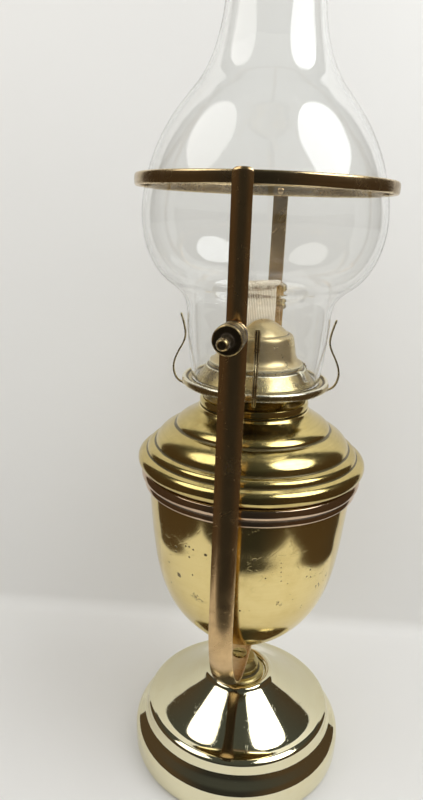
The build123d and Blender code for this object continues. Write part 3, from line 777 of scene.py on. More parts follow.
def mark_handling(mesh: bpy.types.Mesh) -> None:
    """Write how exposed and how hollow each point is, for the wear and the dirt of the finishes."""
    count = len(mesh.vertices)
    bm = bmesh.new()
    bm.from_mesh(mesh)
    bend = np.zeros(count)
    area = np.zeros(count)
    for face in bm.faces:
        share = face.calc_area() / len(face.verts)
        for vertex in face.verts:
            area[vertex.index] += share
    for edge in bm.edges:
        if len(edge.link_faces) == 2:
            turn = edge.calc_face_angle_signed(0.0) * edge.calc_length() * 0.25
            for vertex in edge.verts:
                bend[vertex.index] += turn
    ends = np.array([[v.index for v in e.verts] for e in bm.edges], int).reshape(-1, 2)
    bm.free()
    curve = bend / np.maximum(area, 1e-10)
    for _ in range(2):
        total, number = curve.copy(), np.ones(count)
        np.add.at(total, ends[:, 0], curve[ends[:, 1]])
        np.add.at(total, ends[:, 1], curve[ends[:, 0]])
        np.add.at(number, ends[:, 0], 1.0)
        np.add.at(number, ends[:, 1], 1.0)
        curve = total / number
    for name, low, high, sign in ((Surface.WEAR, 90.0, 420.0, 1.0), (Surface.HOLLOW, 25.0, 260.0, -1.0)):
        level = np.clip((curve * sign - low) / (high - low), 0.0, 1.0)
        give(mesh, name, "FLOAT", level)


@dataclass
class Piece:
    """What one visible piece is called, moves with, is made of and stands for."""

    name: str
    body: Body | str
    slot: Slot
    material: bpy.types.Material
    stands_for: tuple[str, ...] = ()

    def place(self, mesh: bpy.types.Mesh, place: Matrix | None = None, worn: bool = True) -> bpy.types.Object:
        """Put a mesh into the scene as this piece.

        Args:
            mesh: the finished mesh, in metres.
            place: where it goes, or None if it is in place already.
            worn: whether its wear is worked out from its shape.

        Returns:
            The new object.
        """
        if place is not None:
            mesh.transform(place)
        if worn:
            mark_handling(mesh)
        mesh.name = self.name
        mesh.materials.clear()
        mesh.materials.append(self.material)
        thing = bpy.data.objects.new(self.name, mesh)
        bpy.context.scene.collection.objects.link(thing)
        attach(thing, self.body.value if isinstance(self.body, Body) else self.body)
        if self.stands_for:
            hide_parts(*self.stands_for)
        LOG.info("%s: %d faces", self.name, len(mesh.polygons))
        return thing


def lathe_mesh(outline: Sequence[Point2], around: int = 176, closed: bool = True,
               wobble: float = 0.0, seed: float = 0.0) -> bpy.types.Mesh:
    """Turn a profile about the vertical axis.

    Args:
        outline: the profile in millimetres; a point on the axis becomes a pole.
        around: number of steps in a full turn.
        closed: whether the last point joins the first.
        wobble: unevenness of the sheet, in millimetres.
        seed: which unevenness.

    Returns:
        The mesh in metres, with its grain attribute.
    """
    mesh = bpy.data.meshes.new("turned")
    points: list[Point3] = []
    grain: list[Point3] = []
    rings: list[list[int]] = []
    run = 0.0
    for i, (r, z) in enumerate(outline):
        if i:
            run += math.hypot(r - outline[i - 1][0], z - outline[i - 1][1])
        steps = 1 if r < 1e-6 else around
        ring = []
        for k in range(steps):
            angle = TURN * k / steps
            c, s = math.cos(angle), math.sin(angle)
            extra = 0.0
            if wobble:
                spot = Vector((c * 2.2, s * 2.2, z * 0.045 + seed))
                extra = wobble * noise.noise(spot) * min(1.0, r / 10.0)
            ring.append(len(points))
            points.append(((r + extra) * c * MM, (r + extra) * s * MM, z * MM))
            grain.append((run * MM, c * 0.01, s * 0.01))
        rings.append(ring)
    pairs = list(zip(rings, rings[1:] + ([rings[0]] if closed else [])))
    faces: list[tuple[int, ...]] = []
    for low, high in pairs if closed else pairs[:len(rings) - 1]:
        if len(low) == 1 and len(high) == 1:
            continue
        for k in range(around):
            n = (k + 1) % around
            if len(low) == 1:
                faces.append((low[0], high[n], high[k]))
            elif len(high) == 1:
                faces.append((low[k], low[n], high[0]))
            else:
                faces.append((low[k], low[n], high[n], high[k]))
    mesh.from_pydata(points, [], faces)
    give(mesh, Surface.GRAIN, "FLOAT_VECTOR", grain)
    outward(mesh)
    shade(mesh)
    return mesh


def give(mesh: bpy.types.Mesh, name: Surface, kind: str, values: Sequence[object]) -> None:
    """Write one value for each point of a mesh; kind is the attribute's type."""
    layer = mesh.attributes.new(name.value, kind, "POINT")
    field_name = "vector" if kind == "FLOAT_VECTOR" else "value"
    layer.data.foreach_set(field_name, np.array(values, np.float32).ravel())


def outward(mesh: bpy.types.Mesh) -> None:
    """Turn every face of a closed mesh outwards."""
    bm = bmesh.new()
    bm.from_mesh(mesh)
    bmesh.ops.recalc_face_normals(bm, faces=bm.faces)
    bm.to_mesh(mesh)
    bm.free()


@dataclass(frozen=True)
class Station:
    """One place along a strip: its centre, its two directions and its share of full width and depth."""

    centre: Vector
    across: Vector
    out: Vector
    wide: float = 1.0
    deep: float = 1.0


def strip_mesh(section: Sequence[Point2], stations: Sequence[Station]) -> bpy.types.Mesh:
    """Run a section along stations, closed at both ends.

    Args:
        section: the closed section in millimetres, as (across, out).
        stations: where the section goes, in millimetres.

    Returns:
        The mesh in metres, with its grain attribute.
    """
    mesh = bpy.data.meshes.new("drawn")
    points: list[Vector] = []
    grain: list[Point3] = []
    run = 0.0
    girth = [0.0]
    for a, b in zip(section, section[1:]):
        girth.append(girth[-1] + math.hypot(b[0] - a[0], b[1] - a[1]))
    for i, station in enumerate(stations):
        if i:
            run += (station.centre - stations[i - 1].centre).length
        for (u, v), along in zip(section, girth):
            spot = station.centre + station.across * (u * station.wide) + station.out * (v * station.deep)
            points.append(spot * MM)
            grain.append((along * MM, 0.0, run * MM))
    size = len(section)
    faces: list[tuple[int, ...]] = []
    for i in range(len(stations) - 1):
        for k in range(size):
            n = (k + 1) % size
            faces.append((i * size + k, i * size + n, (i + 1) * size + n, (i + 1) * size + k))
    faces.append(tuple(range(size)))
    faces.append(tuple(range((len(stations) - 1) * size, len(stations) * size)))
    mesh.from_pydata([tuple(p) for p in points], [], faces)
    give(mesh, Surface.GRAIN, "FLOAT_VECTOR", grain)
    outward(mesh)
    shade(mesh)
    return mesh


def run_directions(line: Sequence[Point2]) -> list[tuple[float, float, Vector]]:
    """Return radius, height and direction in the XZ plane for each point of a profile."""
    run = []
    for i, (r, z) in enumerate(line):
        r0, z0 = line[max(i - 1, 0)]
        r1, z1 = line[min(i + 1, len(line) - 1)]
        run.append((r, z, Vector((r1 - r0, 0, z1 - z0)).normalized()))
    return run


def half_round(width: float, thick: float, side: float = 0.35, soft: float = 0.35) -> list[Point2]:
    """Return a half-round section with eased edges: flat at 0, crown outwards, in millimetres."""
    half, low = width / 2, thick * side
    radius = (half * half + (thick - low) ** 2) / (2 * (thick - low))
    reach = math.asin(half / radius)
    crown = []
    for k in range(19):
        angle = reach * (1 - 2 * k / 18)
        crown.append((radius * math.sin(angle), thick - radius * (1 - math.cos(angle))))
    crown = [(u * (1 - soft / half * 0.35), v) for u, v in crown]
    right = [(half - soft, 0.0), (half - soft * 0.35, soft * 0.12), (half, soft), (half, low - soft * 0.3)]
    left = [(-u, v) for u, v in reversed(right)]
    flat = [(-half * 0.6, 0.0), (-half * 0.2, 0.0), (half * 0.2, 0.0), (half * 0.6, 0.0)]
    return right + crown + left + flat


def cut_with(mesh: bpy.types.Mesh, cutter: bpy.types.Mesh) -> bpy.types.Mesh:
    """Return mesh with the space of cutter taken out of it."""
    whole = bpy.data.objects.new("whole", mesh)
    knife = bpy.data.objects.new("knife", cutter)
    for thing in (whole, knife):
        bpy.context.scene.collection.objects.link(thing)
    modifier = whole.modifiers.new("cut", "BOOLEAN")
    modifier.operation, modifier.solver, modifier.object = "DIFFERENCE", "EXACT", knife
    bpy.context.view_layer.update()
    graph = bpy.context.evaluated_depsgraph_get()
    made = bpy.data.meshes.new_from_object(whole.evaluated_get(graph))
    for thing in (whole, knife):
        bpy.data.objects.remove(thing)
    shade(made)
    return made


def stadium_cutter(length: float, width: float, low: float, high: float, turn: float) -> bpy.types.Mesh:
    """Return an upright round-ended block, in millimetres, turned about the axis by turn degrees."""
    mesh = bpy.data.meshes.new("cutter")
    radius = width / 2
    rim = []
    for sign in (1, -1):
        for k in range(13):
            angle = -math.pi / 2 + math.pi * k / 12
            rim.append((sign * (length / 2 - radius + radius * math.cos(angle)),
                        sign * radius * math.sin(angle)))
    c, s = math.cos(math.radians(turn)), math.sin(math.radians(turn))
    points = [((x * c - y * s) * MM, (x * s + y * c) * MM, z * MM) for z in (low, high) for x, y in rim]
    n = len(rim)
    faces = [(k, (k + 1) % n, n + (k + 1) % n, n + k) for k in range(n)]
    mesh.from_pydata(points, [], faces + [tuple(range(n)), tuple(range(n, 2 * n))])
    outward(mesh)
    return mesh


def joined(meshes: Sequence[bpy.types.Mesh]) -> bpy.types.Mesh:
    """Return one mesh that holds several."""
    bm = bmesh.new()
    for mesh in meshes:
        bm.from_mesh(mesh)
    whole = bpy.data.meshes.new("joined")
    bm.to_mesh(whole)
    bm.free()
    shade(whole)
    return whole


# ------------------------------------------------------------------ stand


@dataclass
class Stand:
    """Spun foot of stepped, polished brass over its ballast, plate and felt."""

    racks: FinishRack
    skirt: tuple[Point2, ...] = (
        (64.6, 0.4), (65.9, 1.8), (66.5, 4.5), (66.6, 9.0), (66.6, 13.0), (66.0, 16.0),
        (64.6, 18.3), (62.5, 20.3), (60.4, 22.4), (59.1, 25.0), (58.6, 28.2), (58.3, 30.2))
    lip: tuple[Point2, ...] = ((58.3, 30.2), (57.3, 31.1), (55.5, 32.0))
    cone: tuple[Point2, ...] = (
        (55.5, 32.0), (52.0, 33.0), (46.0, 35.9), (38.0, 40.6), (30.0, 45.8), (22.6, 50.6))
    rim: tuple[Point2, ...] = (
        (22.6, 50.6), (22.0, 51.2), (21.2, 52.0), (20.0, 52.6), (18.6, 52.5), (17.5, 51.6), (17.0, 50.4))
    inner: tuple[Point2, ...] = (
        (3.05, 50.4), (3.05, 48.4), (19.0, 48.4), (21.6, 46.2), (54.6, 31.0), (56.8, 29.6),
        (57.2, 26.0), (58.0, 23.0), (60.2, 20.2), (63.0, 17.6), (64.8, 15.0), (65.4, 12.0),
        (65.4, 4.6), (64.6, 2.6), (63.4, 1.4), (63.4, 0.4))

    def build(self, nodes: dict[str, bpy.types.Object]) -> None:
        """Make the foot and dress the hidden parts under it."""
        outline = smooth_line(self.skirt, 0.7)
        for part, step in ((self.lip, 0.35), (self.cone, 1.2), (self.rim, 0.3)):
            outline += smooth_line(part, step)[1:]
        outline += list(self.inner)
        foot = Piece("spun_foot", Body.STAND, Slot.POLISHED, self.racks.foot(), ("foot_shell",))
        foot.place(lathe_mesh(outline, 240))
        dress(nodes["foot_ballast"], self.racks.iron())
        dress(nodes["foot_plate"], self.racks.hub())
        self._felt()

    def _felt(self) -> None:
        """Make the felt pad, with its soft uneven face and cut edges."""
        line = smooth_line([(15.2, 0.9), (15.05, 0.5), (15.3, 0.16), (16.2, 0.03), (27.0, 0.03), (38.0, 0.03),
                            (50.0, 0.03), (60.8, 0.03), (61.7, 0.16), (62.0, 0.5), (61.85, 0.9)], 0.8)
        mesh = lathe_mesh([(15.2, 1.28)] + line + [(61.85, 1.28)], 240)
        for vertex in mesh.vertices:
            spot = vertex.co
            lump = noise.noise(spot * 900.0) * 0.6 + noise.noise(spot * 2600.0) * 0.4
            flat = Vector((spot.x, spot.y, 0.0)).normalized()
            if spot.z < 0.0012:
                vertex.co += flat * (lump * 0.00022)
                vertex.co.z = max(0.0, vertex.co.z + lump * 0.00012)
        felt = Piece("felt_pad", Body.STAND, Slot.FELT, self.racks.felt(), ("foot_felt",))
        felt.place(mesh, worn=False)


def dress(node: bpy.types.Object, material: bpy.types.Material) -> None:
    """Give a carried-over CAD node its finish."""
    node.data.materials.clear()
    node.data.materials.append(material)


# ------------------------------------------------------------------ yoke


@dataclass
class Yoke:
    """Half-round hoop on its hub, with the dressed bolt, washer and nut."""

    racks: FinishRack
    width: float = 12.7
    thick: float = 3.0
    inner: float = 71.9
    bend_height: float = 134.4
    bend_steps: int = 96

    def _stations(self) -> list[Station]:
        """Return the path of the strip from the tip of the near arm to that of the far arm."""
        across = Vector((1.0, 0.0, 0.0))
        radius = self.width / 2
        top = PIVOT_HEIGHT + radius
        near: list[Station] = []
        for k in range(13):
            drop = radius * (1 - math.cos(math.pi / 2 * k / 12))
            wide = max(math.sqrt(max(radius ** 2 - (radius - drop) ** 2, 0.0)) / radius, 0.04)
            near.append(Station(Vector((0, -self.inner, top - drop)), across, Vector((0, -1, 0)), wide,
                                0.75 + 0.25 * min(1.0, drop / 1.2)))
        span = PIVOT_HEIGHT - self.bend_height
        for k in range(1, 40):
            near.append(Station(Vector((0, -self.inner, PIVOT_HEIGHT - span * k / 40)), across,
                                Vector((0, -1, 0))))
        bend = []
        for k in range(self.bend_steps + 1):
            angle = math.pi * k / self.bend_steps
            out = Vector((0, -math.cos(angle), -math.sin(angle)))
            bend.append(Station(Vector((0, 0, self.bend_height)) + out * self.inner, across, out))
        far = [Station(Vector((0, -s.centre.y, s.centre.z)), across, Vector((0, 1, 0)), s.wide, s.deep)
               for s in reversed(near)]
        return near + bend + far

    def build(self, nodes: dict[str, bpy.types.Object]) -> None:
        """Make the hoop and the hub and dress the bolt."""
        hoop = Piece("hoop_yoke", Body.YOKE, Slot.FRAME, self.racks.frame(), ("yoke_hoop",))
        hoop.place(strip_mesh(half_round(self.width, self.thick), self._stations()))
        line = smooth_line([(15.6, 50.6), (16.2, 51.4), (15.0, 52.6), (12.9, 53.4), (12.5, 54.4),
                            (12.5, 56.6), (11.6, 58.4), (9.8, 60.7)], 0.3)
        hub = Piece("yoke_hub_turned", Body.YOKE, Slot.FONT, self.racks.hub(), ("yoke_hub",))
        hub.place(lathe_mesh([(3.05, 50.6), (9.0, 50.6)] + line + [(3.05, 60.7)], 128))
        for name in ("yoke_bolt", "swivel_washer", "swivel_nut"):
            dress(nodes[name], self.racks.hub())


# ------------------------------------------------------------------ swinging frame


@dataclass
class SwingingFrame:
    """Two straps, the chimney ring, the font ring and their rivets, studs and thumb nuts."""

    racks: FinishRack
    width: float = 9.5
    thick: float = 2.3
    top: Point2 = (68.75, 356.3)
    bottom: Point2 = (66.3, 183.2)

    def _strap(self) -> bpy.types.Mesh:
        """Return the strap on the near side, with its rounded top."""
        half, radius = self.width / 2, 2.6
        span = self.top[1] - self.bottom[1]
        lean = (self.top[0] - self.bottom[0]) / span
        out = Vector((0, -1, -lean)).normalized()
        heights = [self.top[1] - radius * (1 - math.cos(math.pi / 2 * k / 12)) for k in range(13)]
        heights += list(np.linspace(self.top[1] - radius, self.bottom[1], 60)[1:])
        stations = []
        for z in heights:
            drop = self.top[1] - z
            corner = math.sqrt(max(radius ** 2 - max(radius - drop, 0.0) ** 2, 0.0))
            wide = (half - radius + corner) / half
            r = self.bottom[0] + lean * (z - self.bottom[1])
            stations.append(Station(Vector((0, -r, z)), Vector((1, 0, 0)), out, max(wide, 0.04),
                                    0.7 + 0.3 * min(1.0, drop / 1.2)))
        return strip_mesh(half_round(self.width, self.thick, 0.35, 0.3), stations)

    def _rivets(self) -> bpy.types.Mesh:
        """Return the four rivets, with their domed heads."""
        heads = []
        for height, start, end, crown, way in ((352.2, 65.85, 70.95, 2.1, -1), (189.7, 62.6, 68.7, 2.0, 1)):
            line = smooth_line([(crown, 0.0), (crown * 0.95, 0.22), (crown * 0.7, 0.5), (0.0, 0.72)], 0.2)
            profile = [(0.0, start - end), (1.3, start - end), (1.3, 0.0)] + line
            where = end if way > 0 else start
            for flip in (0.0, math.pi):
                mesh = lathe_mesh(profile, 40, closed=False)
                place = Matrix.Rotation(flip, 4, "Z") @ Matrix.Translation((0, -where * MM, height * MM))
                mesh.transform(place @ Matrix.Rotation(way * math.pi / 2, 4, "X"))
                heads.append(mesh)
        return joined(heads)

    def build(self, nodes: dict[str, bpy.types.Object]) -> None:
        """Make the frame's visible pieces and dress the rest."""
        frame = self.racks.frame()
        near = Piece("strap_near", Body.GIMBAL, Slot.FRAME, frame, ("gimbal_strap_near",))
        near.place(self._strap())
        far = Piece("strap_far", Body.GIMBAL, Slot.FRAME, frame, ("gimbal_strap_far",))
        far.place(self._strap(), Matrix.Rotation(math.pi, 4, "Z"))
        ring = smooth_line([(65.9, 349.9), (66.1, 349.3), (66.7, 349.1), (67.7, 349.1), (68.35, 349.7),
                            (68.6, 351.0), (68.6, 353.4), (68.35, 354.7), (67.7, 355.3), (66.7, 355.3),
                            (66.1, 355.1), (65.9, 354.5)], 0.4)
        Piece("chimney_ring", Body.GIMBAL, Slot.FRAME, self.racks.top_ring(), ("top_ring",)).place(
            lathe_mesh(ring, 256))
        bead = smooth_line([(61.7, 184.8), (62.0, 185.3), (62.1, 187.0), (62.0, 188.3),
                            (62.3, 188.9), (63.2, 189.6), (63.8, 190.7), (63.95, 192.0),
                            (63.7, 193.4), (63.0, 194.6), (61.9, 195.2)], 0.3)
        Piece("font_hoop", Body.GIMBAL, Slot.RING, self.racks.font_ring(), ("font_ring",)).place(
            lathe_mesh([(60.0, 195.2), (60.0, 184.8)] + bead, 256))
        Piece("frame_rivets", Body.GIMBAL, Slot.FRAME, frame, ("strap_rivets",)).place(self._rivets())
        for name in ("ring_lugs", "pivot_studs", "pivot_washers"):
            dress(nodes[name], frame)
        self._nuts()

    def _nuts(self) -> None:
        """Make the two thumb nuts."""
        back = smooth_line([(2.6, 0.0), (5.9, 0.0), (6.5, 0.2), (6.7, 0.7), (6.7, 2.7), (6.5, 3.3),
                            (5.7, 3.8), (5.5, 4.4), (5.7, 4.9), (6.5, 5.3), (6.85, 5.8)], 0.2)
        grip = []
        for k in range(10):
            z = 6.1 + 0.66 * k
            grip += [(6.9, z), (6.8, z + 0.22), (6.8, z + 0.36), (6.9, z + 0.56)]
        face = smooth_line([(6.88, 12.8), (6.75, 13.3), (6.3, 13.65), (4.6, 13.75), (3.3, 13.8), (2.95, 14.1),
                            (2.9, 16.0), (2.9, 21.4), (2.75, 23.0), (2.1, 24.1), (1.0, 24.45),
                            (0.0, 24.5)], 0.25)
        profile = back + grip + face
        for name, body, node, flip in (("thumb_nut_near", Body.NUT_NEAR, "knob_near", 0.0),
                                       ("thumb_nut_far", Body.NUT_FAR, "knob_far", math.pi)):
            place = Matrix.Rotation(flip, 4, "Z") @ Matrix.Translation((0, -75.2 * MM, PIVOT_HEIGHT * MM))
            place = place @ Matrix.Rotation(math.pi / 2, 4, "X")
            mesh = nut_mesh(profile)
            Piece(name, body, Slot.FRAME, self.racks.knob(), (node,)).place(mesh, place)


def nut_mesh(profile: Sequence[Point2]) -> bpy.types.Mesh:
    """Return a turned thumb nut whose blind bore ends inside it."""
    return lathe_mesh(list(profile[::-1]) + [(2.6, 17.0), (0.0, 17.0)], 96, closed=False)


# ------------------------------------------------------------------ font


@dataclass
class Font:
    """Oil bowl and stepped shoulder, with the dressed collar."""

    racks: FinishRack
    wall: float = 0.9
    shoulder: tuple[Point2, ...] = (
        (58.0, 196.2), (61.5, 195.6), (64.4, 197.0), (65.7, 199.0), (65.9, 200.9), (65.3, 202.8),
        (63.7, 204.3), (61.6, 205.2), (60.9, 205.5), (60.7, 206.6), (60.0, 207.9), (58.5, 209.0),
        (56.9, 209.5), (56.1, 209.9), (55.7, 211.2), (54.9, 213.0), (52.8, 215.5), (49.8, 217.8),
        (46.6, 219.6), (45.4, 220.0), (44.5, 220.6), (44.0, 221.9), (42.2, 223.7), (39.0, 225.8),
        (35.6, 227.9), (32.8, 230.2), (31.4, 231.9), (30.2, 232.1), (30.9, 232.9), (31.2, 234.2),
        (31.0, 235.9), (30.2, 237.0), (29.2, 237.3), (28.4, 236.7), (27.9, 236.0))
    under: tuple[Point2, ...] = (
        (17.8, 236.0), (17.8, 234.8), (28.6, 234.8), (29.4, 232.0), (30.4, 230.4), (34.6, 226.9),
        (41.2, 222.7), (43.2, 219.9), (49.0, 216.9), (53.6, 212.6), (54.9, 208.9), (58.9, 206.6),
        (59.8, 204.3), (63.2, 203.0), (64.6, 200.9), (64.2, 199.2), (61.2, 197.5), (58.0, 197.6))

    def build(self, nodes: dict[str, bpy.types.Object]) -> None:
        """Make the bowl and the shoulder and dress the collar."""
        outer = smooth_line(BOWL_LINE, 1.1)
        outer[0] = (0.0, BOWL_LINE[0][1])
        inner = inside_line(outer, self.wall)
        inner[-1] = (0.0, BOWL_LINE[0][1] + self.wall)
        Piece("font_bowl_spun", Body.FONT, Slot.FONT, self.racks.bowl(), ("font_bowl",)).place(
            lathe_mesh(outer + inner, 224, closed=False, wobble=0.10, seed=3.1))
        outline = smooth_line(self.shoulder, 0.35) + list(self.under)
        Piece("font_shoulder_spun", Body.FONT, Slot.FONT, self.racks.shoulder(), ("font_shoulder",)).place(
            lathe_mesh(outline, 224, wobble=0.07, seed=8.7))
        dress(nodes["font_collar"], self.racks.shoulder())


# ------------------------------------------------------------------ burner


@dataclass
class Burner:
    """Gallery, flame dome and four sprung prongs, over the dressed tube, basket and winder."""

    racks: FinishRack
    rim: tuple[Point2, ...] = (
        (39.4, 244.7), (40.4, 244.5), (41.2, 245.0), (41.6, 246.1), (41.6, 247.3), (41.1, 248.5),
        (40.3, 248.9), (39.5, 248.5), (38.9, 247.9))
    well: tuple[Point2, ...] = (
        (38.9, 247.9), (36.5, 247.86), (34.0, 247.9), (33.0, 248.7), (31.2, 251.1), (29.4, 253.6),
        (28.6, 254.7), (28.0, 255.5), (27.2, 255.6), (26.9, 256.1), (26.5, 257.2))
    back: tuple[Point2, ...] = (
        (24.0, 257.4), (24.0, 256.6), (25.8, 256.4), (26.2, 255.0), (27.4, 254.6), (28.2, 253.6),
        (31.8, 248.5), (33.6, 247.1), (39.0, 247.1), (39.8, 246.4), (39.4, 245.7))
    dome: tuple[Point2, ...] = (
        (0.0, 282.9), (4.0, 282.6), (8.0, 281.3), (12.0, 278.9), (15.0, 276.5), (16.7, 274.9),
        (17.4, 274.2), (18.7, 274.1), (19.8, 273.4), (20.4, 272.2), (21.0, 269.6), (21.6, 266.0),
        (22.2, 262.8), (23.4, 260.3), (25.2, 258.7), (26.3, 258.2), (26.3, 257.5))
    dome_wall: float = 0.8
    slot_size: Point2 = (28.0, 6.8)
    prong_line: tuple[Point2, ...] = (
        (40.9, 243.1), (42.6, 243.5), (44.8, 245.2), (46.3, 248.2), (46.9, 251.8), (46.3, 256.0),
        (44.2, 261.2), (41.8, 265.8), (40.6, 269.4), (40.6, 273.0), (41.6, 277.8), (43.2, 283.0))
    prong_width: float = 3.0

    def _prong(self) -> bpy.types.Mesh:
        """Return one prong along +X: a fluted spring strip with a small ball at its foot."""
        line = smooth_line(self.prong_line, 0.7)
        half = self.prong_width / 2
        section = [(half, -0.3), (half, 0.25), (half * 0.8, 0.5), (half * 0.55, 0.28), (half * 0.36, 0.1),
                   (half * 0.22, 0.4), (0.0, 0.52), (-half * 0.22, 0.4), (-half * 0.36, 0.1),
                   (-half * 0.55, 0.28), (-half * 0.8, 0.5), (-half, 0.25), (-half, -0.3),
                   (-half * 0.5, -0.45), (0.0, -0.5), (half * 0.5, -0.45)]
        stations = []
        for i, (r, z, way) in enumerate(run_directions(line)):
            share = i / (len(line) - 1)
            wide = 0.72 + 0.28 * share
            tip = min(1.0, (1 - share) * len(line) / 2.0)
            stations.append(Station(Vector((r, 0, z)), Vector((0, 1, 0)), Vector((way.z, 0, -way.x)),
                                    wide * (0.7 + 0.3 * tip), 0.75 + 0.25 * tip))
        ball = lathe_mesh([(1.2 * math.sin(math.pi * k / 12) if 0 < k < 12 else 0.0,
                            1.2 * math.cos(math.pi * k / 12)) for k in range(13)], 24, closed=False)
        ball.transform(Matrix.Translation((40.9 * MM, 0, 243.1 * MM)))
        return joined([strip_mesh(section, stations), ball])

    def _tab(self) -> bpy.types.Mesh:
        """Return the folded catch that holds the hinged gallery down."""
        section = [(1.7, 0.0), (1.7, 0.5), (1.1, 0.7), (-1.1, 0.7), (-1.7, 0.5), (-1.7, 0.0)]
        line = smooth_line([(27.4, 255.9), (28.6, 256.0), (29.9, 255.2), (31.0, 253.4), (32.0, 251.6),
                            (33.2, 251.4)], 0.4)
        stations = []
        for i, (r, z, way) in enumerate(run_directions(line)):
            stations.append(Station(Vector((r, 0, z)), Vector((0, 1, 0)), Vector((-way.z, 0, way.x)),
                                    1.0 - 0.35 * (i / (len(line) - 1)) ** 4))
        return strip_mesh(section, stations)

    def build(self, nodes: dict[str, bpy.types.Object]) -> None:
        """Make the gallery, the dome and the prongs and dress the inner parts."""
        brass = self.racks.burner()
        outline = smooth_line(self.rim, 0.3) + smooth_line(self.well, 0.5)[1:] + list(self.back)
        tab = self._tab()
        tab.transform(Matrix.Rotation(math.radians(BURNER_TURN - 90 + 56), 4, "Z"))
        gallery = joined([lathe_mesh(outline, 224, wobble=0.05, seed=1.9), tab])
        Piece("gallery_pressed", Body.BURNER, Slot.BURNER, brass, ("burner_gallery",)).place(gallery)
        outer = smooth_line(self.dome, 0.5)
        outer[0] = (0.0, self.dome[0][1])
        inner = inside_line(outer[::-1], self.dome_wall)
        inner[0] = (0.0, self.dome[0][1] - self.dome_wall)
        whole = lathe_mesh(outer + inner[::-1], 160, closed=False)
        knife = stadium_cutter(*self.slot_size, 272.0, 290.0, WICK_TURN)
        Piece("flame_dome", Body.BURNER, Slot.BURNER, self.racks.dome(), ("burner_dome",)).place(
            cut_with(whole, knife))
        for index, side in enumerate(("front", "right", "back", "left")):
            turn = Matrix.Rotation(math.radians(BURNER_TURN - 90 + 90 * index), 4, "Z")
            Piece(f"spring_prong_{side}", f"spring_{side}", Slot.SPRING, self.racks.spring(),
                  (f"prong_{side}",)).place(self._prong(), turn)
        for name in ("wick_tube", "burner_base", "burner_basket"):
            dress(nodes[name], brass)
        for name in ("wick_spindle", "wick_thumbwheel"):
            dress(nodes[name], self.racks.spring())


# ------------------------------------------------------------------ wick


def cotton_mesh(name: str, points: Sequence[Point3], faces: Sequence[tuple[int, ...]],
                yarn: Sequence[float]) -> bpy.types.Mesh:
    """Return a smooth mesh with its rib-shade attribute, the rib height that sets the painted shade of the
    cotton.
    """
    mesh = bpy.data.meshes.new(name)
    mesh.from_pydata(points, [], faces)
    give(mesh, Surface.RIB_SHADE, "FLOAT", yarn)
    outward(mesh)
    mesh.polygons.foreach_set("use_smooth", [True] * len(mesh.polygons))
    return mesh


